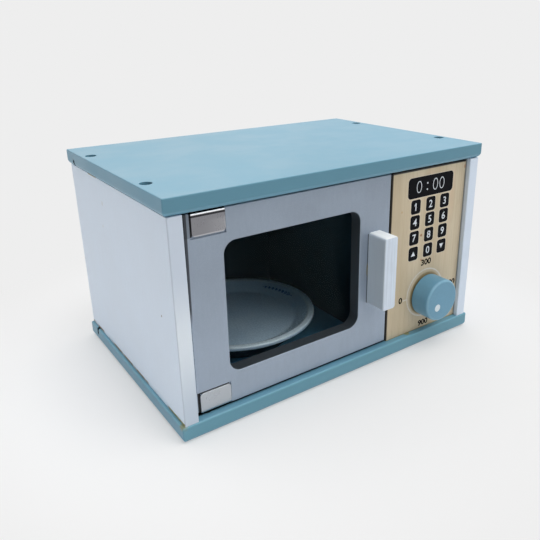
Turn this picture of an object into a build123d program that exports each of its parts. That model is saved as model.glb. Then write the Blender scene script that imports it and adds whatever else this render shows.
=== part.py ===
from build123d import *
import os

# Toy microwave: a wooden case with a hinged door, a turning knob, and a plate on a turntable.
# X runs to the right, Y to the back, Z up. The origin is the middle of the underside.

# Overall size of the case
width = 300.0
depth = 203.0
height = 179.0

# Case boards
board_thickness = 13.6
top_board_thickness = 12.7
wall_thickness = 10.6
side_inset = 2.4
side_setback = 0.8
board_corner_radius = 1.0
board_upper_radius = 1.3
top_board_upper_radius = 0.8
board_lower_radius = 4.5
wall_edge_radius = 0.8

# Back panel, let into grooves of the four case boards
back_thickness = 3.0
groove_width = 3.6
groove_depth = 6.0
groove_play = 0.5
groove_rear_distance = 17.2

# Screws that hold the side panels, sunk below the surface
case_screw_spacing = 116.6
case_screw_recess_radius = 4.5
case_screw_recess_depth = 5.0
case_screw_head_radius = 3.7
case_screw_head_height = 2.4
case_screw_radius = 1.9
case_screw_length = 36.0

# Control panel and partition
face_recess = 5.4
control_panel_width = 89.0
control_panel_thickness = 11.6
control_panel_edge_radius = 0.6
control_panel_top_gap = 1.6
partition_bearing = 3.6

# Wooden dowels in the edges of the partition and the control panel
dowel_radius = 3.0
dowel_length = 20.0
dowel_panel_depth = 8.0
partition_dowel_edge = 26.0
control_dowel_edge = 15.0

# Door
door_thickness = 10.6
door_hinge_gap = 2.0
door_latch_gap = 2.0
door_top_gap = 1.4
door_bottom_gap = 1.9
door_edge_radius = 0.8
window_left_margin = 27.85
window_right_margin = 31.65
window_bottom_margin = 24.5
window_top_margin = 24.1
window_corner_radius = 9.5

# Window pane on the back of the door, and its screws
pane_thickness = 2.0
pane_overlap = 7.0
pane_corner_radius = 4.0
pane_screw_head_radius = 2.1
pane_screw_radius = 1.1
pane_screw_length = 8.0

# Door handle and its screws
handle_width = 13.8
handle_height = 62.8
handle_depth = 19.5
handle_edge_margin = 8.6
handle_centre_height = 73.4
handle_corner_radius = 2.6
handle_edge_radius = 1.0
handle_screw_spacing = 36.0
handle_screw_head_radius = 3.2
handle_screw_radius = 1.6
handle_screw_length = 22.0

# Hinges: folded plates let into pockets at the door's top and bottom edges, with a pin each
hinge_plate_width = 24.8
hinge_plate_height = 16.4
hinge_plate_thickness = 1.2
hinge_plate_margin = 2.5
upper_hinge_plate_shift = 3.0
hinge_plate_corner_radius = 2.6
hinge_plate_fold_radius = 1.8
hinge_plate_edge_radius = 0.3
hinge_pocket_depth = 1.1
hinge_pocket_side_gap = 1.5
hinge_pocket_inner_gap = 1.3
hinge_pocket_play = 0.1
hinge_pin_radius = 2.0
hinge_pin_margin = 9.0
hinge_pin_seat = 8.0
hinge_pin_reach = 7.0
hinge_screw_spacing = 13.0
hinge_screw_head_radius = 1.9
hinge_screw_radius = 1.1
hinge_screw_length = 10.0
bush_radius = 3.2
bush_height = 8.0
bush_flange_radius = 4.4

# Magnetic catch: round magnets in the partition's edge, a steel plate let into the door's back
magnet_radius = 1.5
magnet_length = 10.0
magnet_door_overlap = 2.3
magnet_spacing = 28.0
catch_gap = 0.3
catch_plate_width = 9.0
catch_plate_height = 60.0
catch_plate_thickness = 1.0
catch_plate_margin = 0.6
catch_screw_spacing = 48.0
catch_screw_inset = 3.0
catch_screw_head_radius = 1.6
catch_screw_radius = 0.9
catch_screw_length = 7.0

# Control knob on a shouldered screw, with a washer on each side of the panel
knob_radius = 19.25
knob_reach = 19.6
knob_front_radius = 2.4
knob_back_radius = 0.6
knob_side_distance = 40.9
knob_height = 47.0
knob_screw_radius = 3.0
knob_screw_seat = 12.0
knob_screw_head_radius = 5.0
knob_screw_head_height = 3.0
knob_front_washer_radius = 9.0
knob_front_washer_thickness = 0.6
knob_back_washer_radius = 7.0
knob_back_washer_thickness = 0.8

# Turntable on a steel spindle
turntable_edge_margin = 21.0
turntable_thickness = 7.4
turntable_edge_radius = 1.2
spindle_radius = 3.0
spindle_seat = 8.0
spindle_reach = 5.0
spindle_end_play = 0.5
turntable_washer_radius = 8.0
turntable_washer_thickness = 0.7

# Plate, standing on the turntable
plate_wall_clearance = 10.3
plate_height = 14.5
plate_floor_thickness = 4.0
plate_well_margin = 17.5
plate_rim_width = 4.6
plate_rim_thickness = 3.4
plate_foot_margin = 27.0
plate_foot_width = 6.0
plate_foot_height = 2.5
plate_well_blend = 6.0
plate_lip_blend = 2.0
plate_rim_blend = 1.5

# Fits between pieces
fixed_fit = 0.04
running_fit = 0.05
running_gap = 0.3
hole_end_play = 0.4

# Shares that shape a screw: slot width and reach against the head, slot depth, and the point
slot_width_share = 0.28
slot_reach_share = 1.0
slot_depth_share = 0.4
tip_length_share = 2.0
tip_radius_share = 0.3

# Places worked out from the sizes above
front_y = -depth / 2
back_y = depth / 2
floor_z = board_thickness
ceiling_z = height - top_board_thickness
wall_height = ceiling_z - floor_z
side_outer_x = width / 2 - side_inset
side_inner_x = side_outer_x - wall_thickness
case_screw_x = side_outer_x - wall_thickness / 2
groove_y = back_y - groove_rear_distance - groove_width / 2
back_panel_front_y = back_y - groove_rear_distance - back_thickness
face_y = front_y + face_recess
control_left_x = side_inner_x - control_panel_width
control_back_y = face_y + control_panel_thickness
partition_right_x = control_left_x + partition_bearing
partition_left_x = partition_right_x - wall_thickness
partition_x = partition_right_x - wall_thickness / 2
partition_depth = back_panel_front_y - control_back_y
door_left_x = -side_inner_x + door_hinge_gap
door_right_x = control_left_x - door_latch_gap
door_width = door_right_x - door_left_x
door_x = (door_left_x + door_right_x) / 2
door_bottom_z = floor_z + door_bottom_gap
door_top_z = ceiling_z - door_top_gap
door_height = door_top_z - door_bottom_z
door_z = (door_bottom_z + door_top_z) / 2
door_y = face_y + door_thickness / 2
door_back_y = face_y + door_thickness
window_width = door_width - window_left_margin - window_right_margin
window_height = door_height - window_bottom_margin - window_top_margin
window_x = door_left_x + window_left_margin + window_width / 2
window_z = door_bottom_z + window_bottom_margin + window_height / 2
pane_back_y = door_back_y + pane_thickness
handle_x = door_right_x - handle_edge_margin - handle_width / 2
handle_z = door_bottom_z + handle_centre_height
lower_hinge_plate_x = door_left_x + hinge_plate_margin + hinge_plate_width / 2
upper_hinge_plate_x = lower_hinge_plate_x + upper_hinge_plate_shift
hinge_plate_proud = hinge_plate_thickness - hinge_pocket_depth
hinge_plate_front_y = face_y - hinge_plate_proud
bush_flange_thickness = door_bottom_gap - hinge_plate_proud - running_gap
hinge_pin_x = door_left_x + hinge_pin_margin
hinge_screw_x = hinge_pin_x + hinge_screw_spacing
magnet_x = door_right_x - magnet_door_overlap
magnet_front_y = door_back_y + catch_gap
catch_plate_x = door_right_x - catch_plate_margin - catch_plate_width / 2
catch_screw_x = catch_plate_x - catch_plate_width / 2 + catch_screw_inset
knob_x = side_inner_x - knob_side_distance
knob_back_y = face_y - running_gap - knob_front_washer_thickness
knob_screw_head_y = control_back_y + running_gap + knob_back_washer_thickness
cavity_width = partition_left_x + side_inner_x
turntable_x = partition_left_x - cavity_width / 2
plate_radius = min(cavity_width / 2, back_panel_front_y, -pane_back_y) - plate_wall_clearance
plate_well_radius = plate_radius - plate_well_margin
plate_foot_radius = plate_radius - plate_foot_margin
turntable_radius = plate_radius - turntable_edge_margin
turntable_z = floor_z + turntable_washer_thickness + running_gap
plate_z = turntable_z + turntable_thickness

# Turns that point a hole or a screw down, to the front and to the back, and the angle of a flat screw head
facing_down = (180, 0, 0)
facing_front = (90, 0, 0)
facing_back = (-90, 0, 0)
countersink_angle = 90


def cut_cross_slot(head_radius):
    """Cut a cross slot into a screw head whose top is at Z = 0."""
    slot_reach = head_radius * slot_reach_share
    slot_width = head_radius * slot_width_share
    slot_depth = head_radius * slot_depth_share
    top_middle = (Align.CENTER, Align.CENTER, Align.MAX)
    Box(slot_reach, slot_width, slot_depth, align=top_middle, mode=Mode.SUBTRACT)
    Box(slot_width, slot_reach, slot_depth, align=top_middle, mode=Mode.SUBTRACT)


def countersunk_screw(head_radius, radius, length):
    """A screw pointing down, its flat head flush with Z = 0."""
    head_height = head_radius - radius
    tip_length = radius * tip_length_share
    with BuildPart() as screw:
        with BuildSketch(Plane.XZ):
            with BuildLine():
                Polyline(
                    (0, 0),
                    (head_radius, 0),
                    (radius, -head_height),
                    (radius, tip_length - length),
                    (radius * tip_radius_share, -length),
                    (0, -length),
                    close=True,
                )
            make_face()
        revolve(axis=Axis.Z)
        cut_cross_slot(head_radius)
    return screw.part


def pan_head_screw(head_radius, head_height, radius, length):
    """A screw pointing down, its domed head's top at Z = 0."""
    tip_length = radius * tip_length_share
    with BuildPart() as screw:
        with BuildSketch(Plane.XZ):
            with BuildLine():
                Polyline(
                    (0, 0),
                    (head_radius, 0),
                    (head_radius, -head_height),
                    (radius, -head_height),
                    (radius, tip_length - length),
                    (radius * tip_radius_share, -length),
                    (0, -length),
                    close=True,
                )
            make_face()
        revolve(axis=Axis.Z)
        fillet(screw.edges().filter_by(GeomType.CIRCLE).sort_by(Axis.Z)[-1], head_height / 2)
        cut_cross_slot(head_radius)
    return screw.part


case_screw = pan_head_screw(
    case_screw_head_radius, case_screw_head_height, case_screw_radius, case_screw_length
)
pane_screw = countersunk_screw(pane_screw_head_radius, pane_screw_radius, pane_screw_length)
handle_screw = countersunk_screw(handle_screw_head_radius, handle_screw_radius, handle_screw_length)
hinge_screw = countersunk_screw(hinge_screw_head_radius, hinge_screw_radius, hinge_screw_length)
catch_screw = countersunk_screw(catch_screw_head_radius, catch_screw_radius, catch_screw_length)

# Places of the fasteners
case_screw_points = [
    (side * case_screw_x, end * case_screw_spacing / 2) for side in (-1, 1) for end in (-1, 1)
]
partition_dowel_points = [
    (partition_x, control_back_y + partition_dowel_edge),
    (partition_x, back_panel_front_y - partition_dowel_edge),
]
control_dowel_points = [
    (control_left_x + control_dowel_edge, (face_y + control_back_y) / 2),
    (side_inner_x - control_dowel_edge, (face_y + control_back_y) / 2),
]
dowel_points = partition_dowel_points + control_dowel_points
pane_screw_points = [
    (
        window_x + side * (window_width + pane_overlap) / 2,
        window_z + end * (window_height + pane_overlap) / 2,
    )
    for side in (-1, 1)
    for end in (-1, 1)
]
handle_screw_heights = [handle_z + end * handle_screw_spacing / 2 for end in (-1, 1)]
catch_screw_heights = [handle_z + end * catch_screw_spacing / 2 for end in (-1, 1)]
magnet_heights = [handle_z + end * magnet_spacing / 2 for end in (-1, 1)]
dowel_hole_radius = dowel_radius + fixed_fit
dowel_wall_depth = dowel_length - dowel_panel_depth + hole_end_play
case_screw_bottom_depth = case_screw_recess_depth - case_screw_head_height
thinner_board = min(board_thickness, top_board_thickness)
case_screw_wall_depth = case_screw_length + case_screw_bottom_depth - thinner_board + hole_end_play

# Bottom panel
with BuildPart() as bottom_panel:
    Box(width, depth, board_thickness, align=(Align.CENTER, Align.CENTER, Align.MIN))
    fillet(bottom_panel.faces().sort_by(Axis.Z)[0].edges(), board_lower_radius)
    fillet(bottom_panel.faces().sort_by(Axis.Z)[-1].edges(), board_upper_radius)
    fillet(bottom_panel.edges().filter_by(Axis.Z), board_corner_radius)
    with Locations((0, groove_y, floor_z)):
        Box(
            width,
            groove_width,
            groove_depth,
            align=(Align.CENTER, Align.CENTER, Align.MAX),
            mode=Mode.SUBTRACT,
        )
    with Locations(*[Location((x, y, 0), facing_down) for x, y in case_screw_points]):
        CounterBoreHole(
            case_screw_radius + fixed_fit,
            case_screw_recess_radius,
            case_screw_recess_depth,
            board_thickness,
        )
    with Locations(*[(x, y, floor_z) for x, y in dowel_points]):
        Hole(dowel_hole_radius, dowel_panel_depth)
    with Locations((hinge_pin_x, door_y, floor_z)):
        Hole(bush_radius + fixed_fit, bush_height)
    with Locations((turntable_x, 0, floor_z)):
        Hole(spindle_radius + fixed_fit, spindle_seat)

# Top panel
with BuildPart() as top_panel:
    with Locations((0, 0, ceiling_z)):
        Box(width, depth, top_board_thickness, align=(Align.CENTER, Align.CENTER, Align.MIN))
    fillet(top_panel.faces().sort_by(Axis.Z)[0].edges(), board_lower_radius)
    fillet(top_panel.edges().filter_by(Axis.Z), board_corner_radius)
    fillet(top_panel.faces().sort_by(Axis.Z)[-1].edges(), top_board_upper_radius)
    with Locations((0, groove_y, ceiling_z)):
        Box(
            width,
            groove_width,
            groove_depth,
            align=(Align.CENTER, Align.CENTER, Align.MIN),
            mode=Mode.SUBTRACT,
        )
    with Locations(*[(x, y, height) for x, y in case_screw_points]):
        CounterBoreHole(
            case_screw_radius + fixed_fit,
            case_screw_recess_radius,
            case_screw_recess_depth,
            top_board_thickness,
        )
    with Locations(*[Location((x, y, ceiling_z), facing_down) for x, y in dowel_points]):
        Hole(dowel_hole_radius, dowel_panel_depth)
    with Locations(Location((hinge_pin_x, door_y, ceiling_z), facing_down)):
        Hole(bush_radius + fixed_fit, bush_height)


def cut_side_details(side):
    """Cut the back panel's groove and the screw holes of a side panel; side is -1 or 1."""
    with Locations((side * side_inner_x, groove_y, floor_z)):
        Box(
            groove_depth * 2,
            groove_width,
            wall_height,
            align=(Align.CENTER, Align.CENTER, Align.MIN),
            mode=Mode.SUBTRACT,
        )
    ends = [end * case_screw_spacing / 2 for end in (-1, 1)]
    with Locations(*[(side * case_screw_x, y, ceiling_z) for y in ends]):
        Hole(case_screw_radius + fixed_fit, case_screw_wall_depth)
    with Locations(*[Location((side * case_screw_x, y, floor_z), facing_down) for y in ends]):
        Hole(case_screw_radius + fixed_fit, case_screw_wall_depth)


# Side panels
with BuildPart() as left_side_panel:
    with Locations((-side_outer_x, front_y + side_setback, floor_z)):
        Box(
            wall_thickness,
            depth - side_setback,
            wall_height,
            align=(Align.MIN, Align.MIN, Align.MIN),
        )
    fillet(left_side_panel.edges().filter_by(Axis.Z), wall_edge_radius)
    cut_side_details(-1)

with BuildPart() as right_side_panel:
    with Locations((side_outer_x, front_y + side_setback, floor_z)):
        Box(
            wall_thickness,
            depth - side_setback,
            wall_height,
            align=(Align.MAX, Align.MIN, Align.MIN),
        )
    fillet(right_side_panel.edges().filter_by(Axis.Z), wall_edge_radius)
    cut_side_details(1)

# Back panel
with BuildPart() as back_panel:
    with Locations((0, back_panel_front_y, floor_z - groove_depth)):
        Box(
            2 * (side_inner_x + groove_depth - groove_play),
            back_thickness,
            wall_height + 2 * groove_depth - groove_play,
            align=(Align.CENTER, Align.MIN, Align.MIN),
        )

# Partition between the oven and the control space
with BuildPart() as partition:
    with Locations((partition_x, control_back_y, floor_z)):
        Box(
            wall_thickness,
            partition_depth,
            wall_height,
            align=(Align.CENTER, Align.MIN, Align.MIN),
        )
    with Locations(*[(x, y, ceiling_z) for x, y in partition_dowel_points]):
        Hole(dowel_hole_radius, dowel_wall_depth)
    with Locations(*[Location((x, y, floor_z), facing_down) for x, y in partition_dowel_points]):
        Hole(dowel_hole_radius, dowel_wall_depth)
    with Locations(*[Location((magnet_x, control_back_y, z), facing_front) for z in magnet_heights]):
        Hole(magnet_radius + fixed_fit, magnet_length - (control_back_y - magnet_front_y))

# Control panel
with BuildPart() as control_panel:
    with Locations((control_left_x, face_y, floor_z)):
        Box(
            control_panel_width,
            control_panel_thickness,
            wall_height - control_panel_top_gap,
            align=(Align.MIN, Align.MIN, Align.MIN),
        )
    fillet(
        control_panel.faces().sort_by(Axis.Y)[0].edges().filter_by(Axis.Z),
        control_panel_edge_radius,
    )
    with Locations(*[(x, y, ceiling_z) for x, y in control_dowel_points]):
        Hole(dowel_hole_radius, dowel_wall_depth)
    with Locations(*[Location((x, y, floor_z), facing_down) for x, y in control_dowel_points]):
        Hole(dowel_hole_radius, dowel_wall_depth)
    with Locations(Location((knob_x, face_y, knob_height), facing_front)):
        Hole(knob_screw_radius + running_fit, control_panel_thickness)

# Case screws
with BuildPart() as top_screws:
    with Locations(*[(x, y, height - case_screw_bottom_depth) for x, y in case_screw_points]):
        add(case_screw)

with BuildPart() as bottom_screws:
    with Locations(
        *[Location((x, y, case_screw_bottom_depth), facing_down) for x, y in case_screw_points]
    ):
        add(case_screw)


def build_dowels(points):
    """Dowels through the ceiling and floor joints at the given places."""
    upright = (Align.CENTER, Align.CENTER, Align.MAX)
    with Locations(*[(x, y, ceiling_z + dowel_panel_depth) for x, y in points]):
        Cylinder(dowel_radius, dowel_length, align=upright)
    with Locations(*[(x, y, floor_z - dowel_panel_depth + dowel_length) for x, y in points]):
        Cylinder(dowel_radius, dowel_length, align=upright)


# Dowels
with BuildPart() as partition_dowels:
    build_dowels(partition_dowel_points)

with BuildPart() as control_panel_dowels:
    build_dowels(control_dowel_points)

# Hinge bushes: a plain one above, one with a flange below that carries the door
with BuildPart() as upper_hinge_bush:
    with BuildSketch(Plane.XY.offset(ceiling_z)):
        with Locations((hinge_pin_x, door_y)):
            Circle(bush_radius)
            Circle(hinge_pin_radius + running_fit, mode=Mode.SUBTRACT)
    extrude(amount=bush_height)

with BuildPart() as lower_hinge_bush:
    with BuildSketch(Plane.XY.offset(floor_z)):
        with Locations((hinge_pin_x, door_y)):
            Circle(bush_radius)
    extrude(amount=-bush_height)
    with BuildSketch(Plane.XY.offset(floor_z)):
        with Locations((hinge_pin_x, door_y)):
            Circle(bush_flange_radius)
    extrude(amount=bush_flange_thickness)
    with Locations((hinge_pin_x, door_y, floor_z + bush_flange_thickness)):
        Hole(hinge_pin_radius + running_fit, bush_flange_thickness + bush_height)

# Catch magnets, standing a little proud of the partition's front edge
with BuildPart() as catch_magnets:
    with Locations(*[Location((magnet_x, magnet_front_y, z), facing_front) for z in magnet_heights]):
        Cylinder(magnet_radius, magnet_length, align=(Align.CENTER, Align.CENTER, Align.MAX))

# Turntable spindle
with BuildPart() as turntable_spindle:
    with BuildSketch(Plane.XY.offset(floor_z - spindle_seat)):
        with Locations((turntable_x, 0)):
            Circle(spindle_radius)
    extrude(amount=spindle_seat + turntable_z - floor_z + spindle_reach)


def build_hinge_plate(plate_x, edge_z, inward):
    """A sheet folded over a door edge at edge_z; inward is -1 at the top edge and 1 at the bottom."""
    fold_z = edge_z - inward * hinge_plate_proud
    with Locations((plate_x, hinge_plate_front_y, fold_z + inward * hinge_plate_height / 2)):
        Box(
            hinge_plate_width,
            hinge_plate_thickness,
            hinge_plate_height,
            align=(Align.CENTER, Align.MIN, Align.CENTER),
        )
    with Locations((plate_x, hinge_plate_front_y, fold_z + inward * hinge_plate_thickness / 2)):
        Box(
            hinge_plate_width,
            hinge_plate_proud + door_thickness,
            hinge_plate_thickness,
            align=(Align.CENTER, Align.MIN, Align.CENTER),
        )


def cut_hinge_pocket(plate_x, edge_z, inward, side_gap):
    """Cut the pocket for a hinge plate into the door; side_gap is the gap left of the plate."""
    pocket_x = plate_x + (hinge_pocket_play - side_gap) / 2
    pocket_width = hinge_plate_width + side_gap + hinge_pocket_play
    pocket_height = hinge_plate_height - hinge_plate_proud + hinge_pocket_inner_gap
    with Locations((pocket_x, face_y, edge_z + inward * pocket_height / 2)):
        Box(
            pocket_width,
            hinge_pocket_depth,
            pocket_height,
            align=(Align.CENTER, Align.MIN, Align.CENTER),
            mode=Mode.SUBTRACT,
        )
    with Locations((pocket_x, face_y, edge_z + inward * hinge_pocket_depth / 2)):
        Box(
            pocket_width,
            door_thickness,
            hinge_pocket_depth,
            align=(Align.CENTER, Align.MIN, Align.CENTER),
            mode=Mode.SUBTRACT,
        )


# Door panel
with BuildPart() as door_panel:
    with BuildSketch(Plane.XZ.offset(-door_back_y)):
        with Locations((door_x, door_z)):
            Rectangle(door_width, door_height)
        with Locations((window_x, window_z)):
            RectangleRounded(window_width, window_height, window_corner_radius, mode=Mode.SUBTRACT)
    extrude(amount=door_thickness)
    fillet(door_panel.faces().sort_by(Axis.Y)[0].edges(), door_edge_radius)
    cut_hinge_pocket(upper_hinge_plate_x, door_top_z, -1, hinge_pocket_side_gap)
    cut_hinge_pocket(lower_hinge_plate_x, door_bottom_z, 1, hinge_plate_margin)
    with Locations((hinge_pin_x, door_y, door_top_z)):
        Hole(hinge_pin_radius + fixed_fit, hinge_pin_seat)
    with Locations((hinge_screw_x, door_y, door_top_z)):
        Hole(hinge_screw_radius + fixed_fit, hinge_screw_length)
    with Locations(Location((hinge_pin_x, door_y, door_bottom_z), facing_down)):
        Hole(hinge_pin_radius + fixed_fit, hinge_pin_seat)
    with Locations(Location((hinge_screw_x, door_y, door_bottom_z), facing_down)):
        Hole(hinge_screw_radius + fixed_fit, hinge_screw_length)
    with Locations(*[Location((x, door_back_y, z), facing_back) for x, z in pane_screw_points]):
        Hole(pane_screw_radius + fixed_fit, pane_screw_length - pane_thickness)
    with Locations(
        *[Location((handle_x, door_back_y, z), facing_back) for z in handle_screw_heights]
    ):
        CounterSinkHole(
            handle_screw_radius + fixed_fit,
            handle_screw_head_radius + fixed_fit,
            door_thickness,
            countersink_angle,
        )
    with Locations((catch_plate_x, door_back_y, handle_z)):
        Box(
            catch_plate_width,
            catch_plate_thickness,
            catch_plate_height,
            align=(Align.CENTER, Align.MAX, Align.CENTER),
            mode=Mode.SUBTRACT,
        )
    with Locations(
        *[Location((catch_screw_x, door_back_y, z), facing_back) for z in catch_screw_heights]
    ):
        Hole(catch_screw_radius + fixed_fit, catch_screw_length)

# Window pane
with BuildPart() as window_pane:
    with BuildSketch(Plane.XZ.offset(-pane_back_y)):
        with Locations((window_x, window_z)):
            RectangleRounded(
                window_width + 2 * pane_overlap,
                window_height + 2 * pane_overlap,
                pane_corner_radius,
            )
    extrude(amount=pane_thickness)
    with Locations(*[Location((x, pane_back_y, z), facing_back) for x, z in pane_screw_points]):
        CounterSinkHole(
            pane_screw_radius + fixed_fit,
            pane_screw_head_radius + fixed_fit,
            pane_thickness,
            countersink_angle,
        )

with BuildPart() as pane_screws:
    with Locations(*[Location((x, pane_back_y, z), facing_back) for x, z in pane_screw_points]):
        add(pane_screw)

# Door handle
with BuildPart() as door_handle:
    with Locations((handle_x, face_y, handle_z)):
        Box(
            handle_width,
            handle_depth,
            handle_height,
            align=(Align.CENTER, Align.MAX, Align.CENTER),
        )
    fillet(door_handle.edges().filter_by(Axis.Y), handle_corner_radius)
    fillet(door_handle.faces().sort_by(Axis.Y)[0].edges(), handle_edge_radius)
    with Locations(*[Location((handle_x, face_y, z), facing_back) for z in handle_screw_heights]):
        Hole(handle_screw_radius + fixed_fit, handle_screw_length - door_thickness + hole_end_play)

with BuildPart() as handle_screws:
    with Locations(
        *[Location((handle_x, door_back_y, z), facing_back) for z in handle_screw_heights]
    ):
        add(handle_screw)

# Hinge plates
with BuildPart() as upper_hinge_plate:
    build_hinge_plate(upper_hinge_plate_x, door_top_z, -1)
    fillet(
        upper_hinge_plate.edges().filter_by(Axis.Y).group_by(Axis.Z)[0],
        hinge_plate_corner_radius,
    )
    fillet(
        upper_hinge_plate.edges().filter_by(Axis.X).group_by(Axis.Y)[0].sort_by(Axis.Z)[-1],
        hinge_plate_fold_radius,
    )
    fillet(upper_hinge_plate.faces().sort_by(Axis.Y)[0].edges(), hinge_plate_edge_radius)
    with Locations((hinge_pin_x, door_y, door_top_z + hinge_plate_proud)):
        Hole(hinge_pin_radius + fixed_fit, hinge_plate_thickness)
    with Locations((hinge_screw_x, door_y, door_top_z + hinge_plate_proud)):
        CounterSinkHole(
            hinge_screw_radius + fixed_fit,
            hinge_screw_head_radius + fixed_fit,
            hinge_plate_thickness,
            countersink_angle,
        )

with BuildPart() as lower_hinge_plate:
    build_hinge_plate(lower_hinge_plate_x, door_bottom_z, 1)
    fillet(
        lower_hinge_plate.edges().filter_by(Axis.Y).group_by(Axis.Z)[-1],
        hinge_plate_corner_radius,
    )
    fillet(
        lower_hinge_plate.edges().filter_by(Axis.X).group_by(Axis.Y)[0].sort_by(Axis.Z)[0],
        hinge_plate_fold_radius,
    )
    fillet(lower_hinge_plate.faces().sort_by(Axis.Y)[0].edges(), hinge_plate_edge_radius)
    with Locations(
        Location((hinge_pin_x, door_y, door_bottom_z - hinge_plate_proud), facing_down)
    ):
        Hole(hinge_pin_radius + fixed_fit, hinge_plate_thickness)
    with Locations(
        Location((hinge_screw_x, door_y, door_bottom_z - hinge_plate_proud), facing_down)
    ):
        CounterSinkHole(
            hinge_screw_radius + fixed_fit,
            hinge_screw_head_radius + fixed_fit,
            hinge_plate_thickness,
            countersink_angle,
        )

# Hinge pins and screws
with BuildPart() as hinge_pins:
    with BuildSketch(Plane.XY.offset(door_top_z - hinge_pin_seat)):
        with Locations((hinge_pin_x, door_y)):
            Circle(hinge_pin_radius)
    extrude(amount=hinge_pin_seat + door_top_gap + hinge_pin_reach)
    with BuildSketch(Plane.XY.offset(door_bottom_z + hinge_pin_seat)):
        with Locations((hinge_pin_x, door_y)):
            Circle(hinge_pin_radius)
    extrude(amount=-(hinge_pin_seat + door_bottom_gap + hinge_pin_reach))

with BuildPart() as hinge_screws:
    with Locations((hinge_screw_x, door_y, door_top_z + hinge_plate_proud)):
        add(hinge_screw)
    with Locations(
        Location((hinge_screw_x, door_y, door_bottom_z - hinge_plate_proud), facing_down)
    ):
        add(hinge_screw)

# Catch plate and its screws
with BuildPart() as catch_plate:
    with Locations((catch_plate_x, door_back_y, handle_z)):
        Box(
            catch_plate_width,
            catch_plate_thickness,
            catch_plate_height,
            align=(Align.CENTER, Align.MAX, Align.CENTER),
        )
    with Locations(
        *[Location((catch_screw_x, door_back_y, z), facing_back) for z in catch_screw_heights]
    ):
        CounterSinkHole(
            catch_screw_radius + fixed_fit,
            catch_screw_head_radius + fixed_fit,
            catch_plate_thickness,
            countersink_angle,
        )

with BuildPart() as catch_screws:
    with Locations(
        *[Location((catch_screw_x, door_back_y, z), facing_back) for z in catch_screw_heights]
    ):
        add(catch_screw)

# Control knob, its shouldered screw and its washers
with BuildPart() as control_knob:
    with BuildSketch(Plane.XZ.offset(-knob_back_y)):
        with Locations((knob_x, knob_height)):
            Circle(knob_radius)
    extrude(amount=knob_back_y - (face_y - knob_reach))
    fillet(control_knob.faces().sort_by(Axis.Y)[0].edges(), knob_front_radius)
    fillet(control_knob.faces().sort_by(Axis.Y)[-1].edges(), knob_back_radius)
    with Locations(Location((knob_x, knob_back_y, knob_height), facing_back)):
        Hole(knob_screw_radius + fixed_fit, knob_screw_seat + hole_end_play)

with BuildPart() as knob_front_washer:
    with BuildSketch(Plane.XZ.offset(-knob_back_y)):
        with Locations((knob_x, knob_height)):
            Circle(knob_front_washer_radius)
            Circle(knob_screw_radius + fixed_fit, mode=Mode.SUBTRACT)
    extrude(amount=-knob_front_washer_thickness)

with BuildPart() as knob_back_washer:
    with BuildSketch(Plane.XZ.offset(-(control_back_y + running_gap))):
        with Locations((knob_x, knob_height)):
            Circle(knob_back_washer_radius)
            Circle(knob_screw_radius + fixed_fit, mode=Mode.SUBTRACT)
    extrude(amount=-knob_back_washer_thickness)

with BuildPart() as knob_screw:
    with BuildSketch(Plane.XZ.offset(-knob_screw_head_y)):
        with Locations((knob_x, knob_height)):
            Circle(knob_screw_head_radius)
    extrude(amount=-knob_screw_head_height)
    with BuildSketch(Plane.XZ.offset(-knob_screw_head_y)):
        with Locations((knob_x, knob_height)):
            Circle(knob_screw_radius)
    extrude(amount=knob_screw_head_y - knob_back_y + knob_screw_seat)
    with Locations(
        Location((knob_x, knob_screw_head_y + knob_screw_head_height, knob_height), facing_back)
    ):
        cut_cross_slot(knob_screw_head_radius)

# Turntable and its washer
with BuildPart() as turntable:
    with BuildSketch(Plane.XY.offset(turntable_z)):
        with Locations((turntable_x, 0)):
            Circle(turntable_radius)
    extrude(amount=turntable_thickness)
    fillet(turntable.edges(), turntable_edge_radius)
    with Locations(Location((turntable_x, 0, turntable_z), facing_down)):
        Hole(spindle_radius + running_fit, spindle_reach + spindle_end_play)

with BuildPart() as turntable_washer:
    with BuildSketch(Plane.XY.offset(turntable_z)):
        with Locations((turntable_x, 0)):
            Circle(turntable_washer_radius)
            Circle(spindle_radius + running_fit, mode=Mode.SUBTRACT)
    extrude(amount=-turntable_washer_thickness)

# Plate, turned on a foot ring
plate_section = Plane(origin=(turntable_x, 0, plate_z), x_dir=(1, 0, 0), z_dir=(0, -1, 0))
plate_floor = plate_foot_height + plate_floor_thickness
with BuildPart() as plate:
    with BuildSketch(plate_section) as plate_profile:
        with BuildLine():
            Polyline(
                (0, plate_foot_height),
                (plate_foot_radius - plate_foot_width, plate_foot_height),
                (plate_foot_radius - plate_foot_width, 0),
                (plate_foot_radius, 0),
                (plate_well_radius, plate_foot_height),
                (plate_radius, plate_height - plate_rim_thickness),
                (plate_radius, plate_height),
                (plate_radius - plate_rim_width, plate_height),
                (plate_well_radius, plate_floor),
                (0, plate_floor),
                close=True,
            )
        make_face()
        fillet(plate_profile.vertices().group_by(Axis.X)[-3], plate_well_blend)
        fillet(plate_profile.vertices().group_by(Axis.X)[-1], plate_rim_blend)
        fillet(plate_profile.vertices().group_by(Axis.Y)[-1].sort_by(Axis.X)[0], plate_lip_blend)
    revolve(axis=Axis((turntable_x, 0, 0), (0, 0, 1)))

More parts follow.
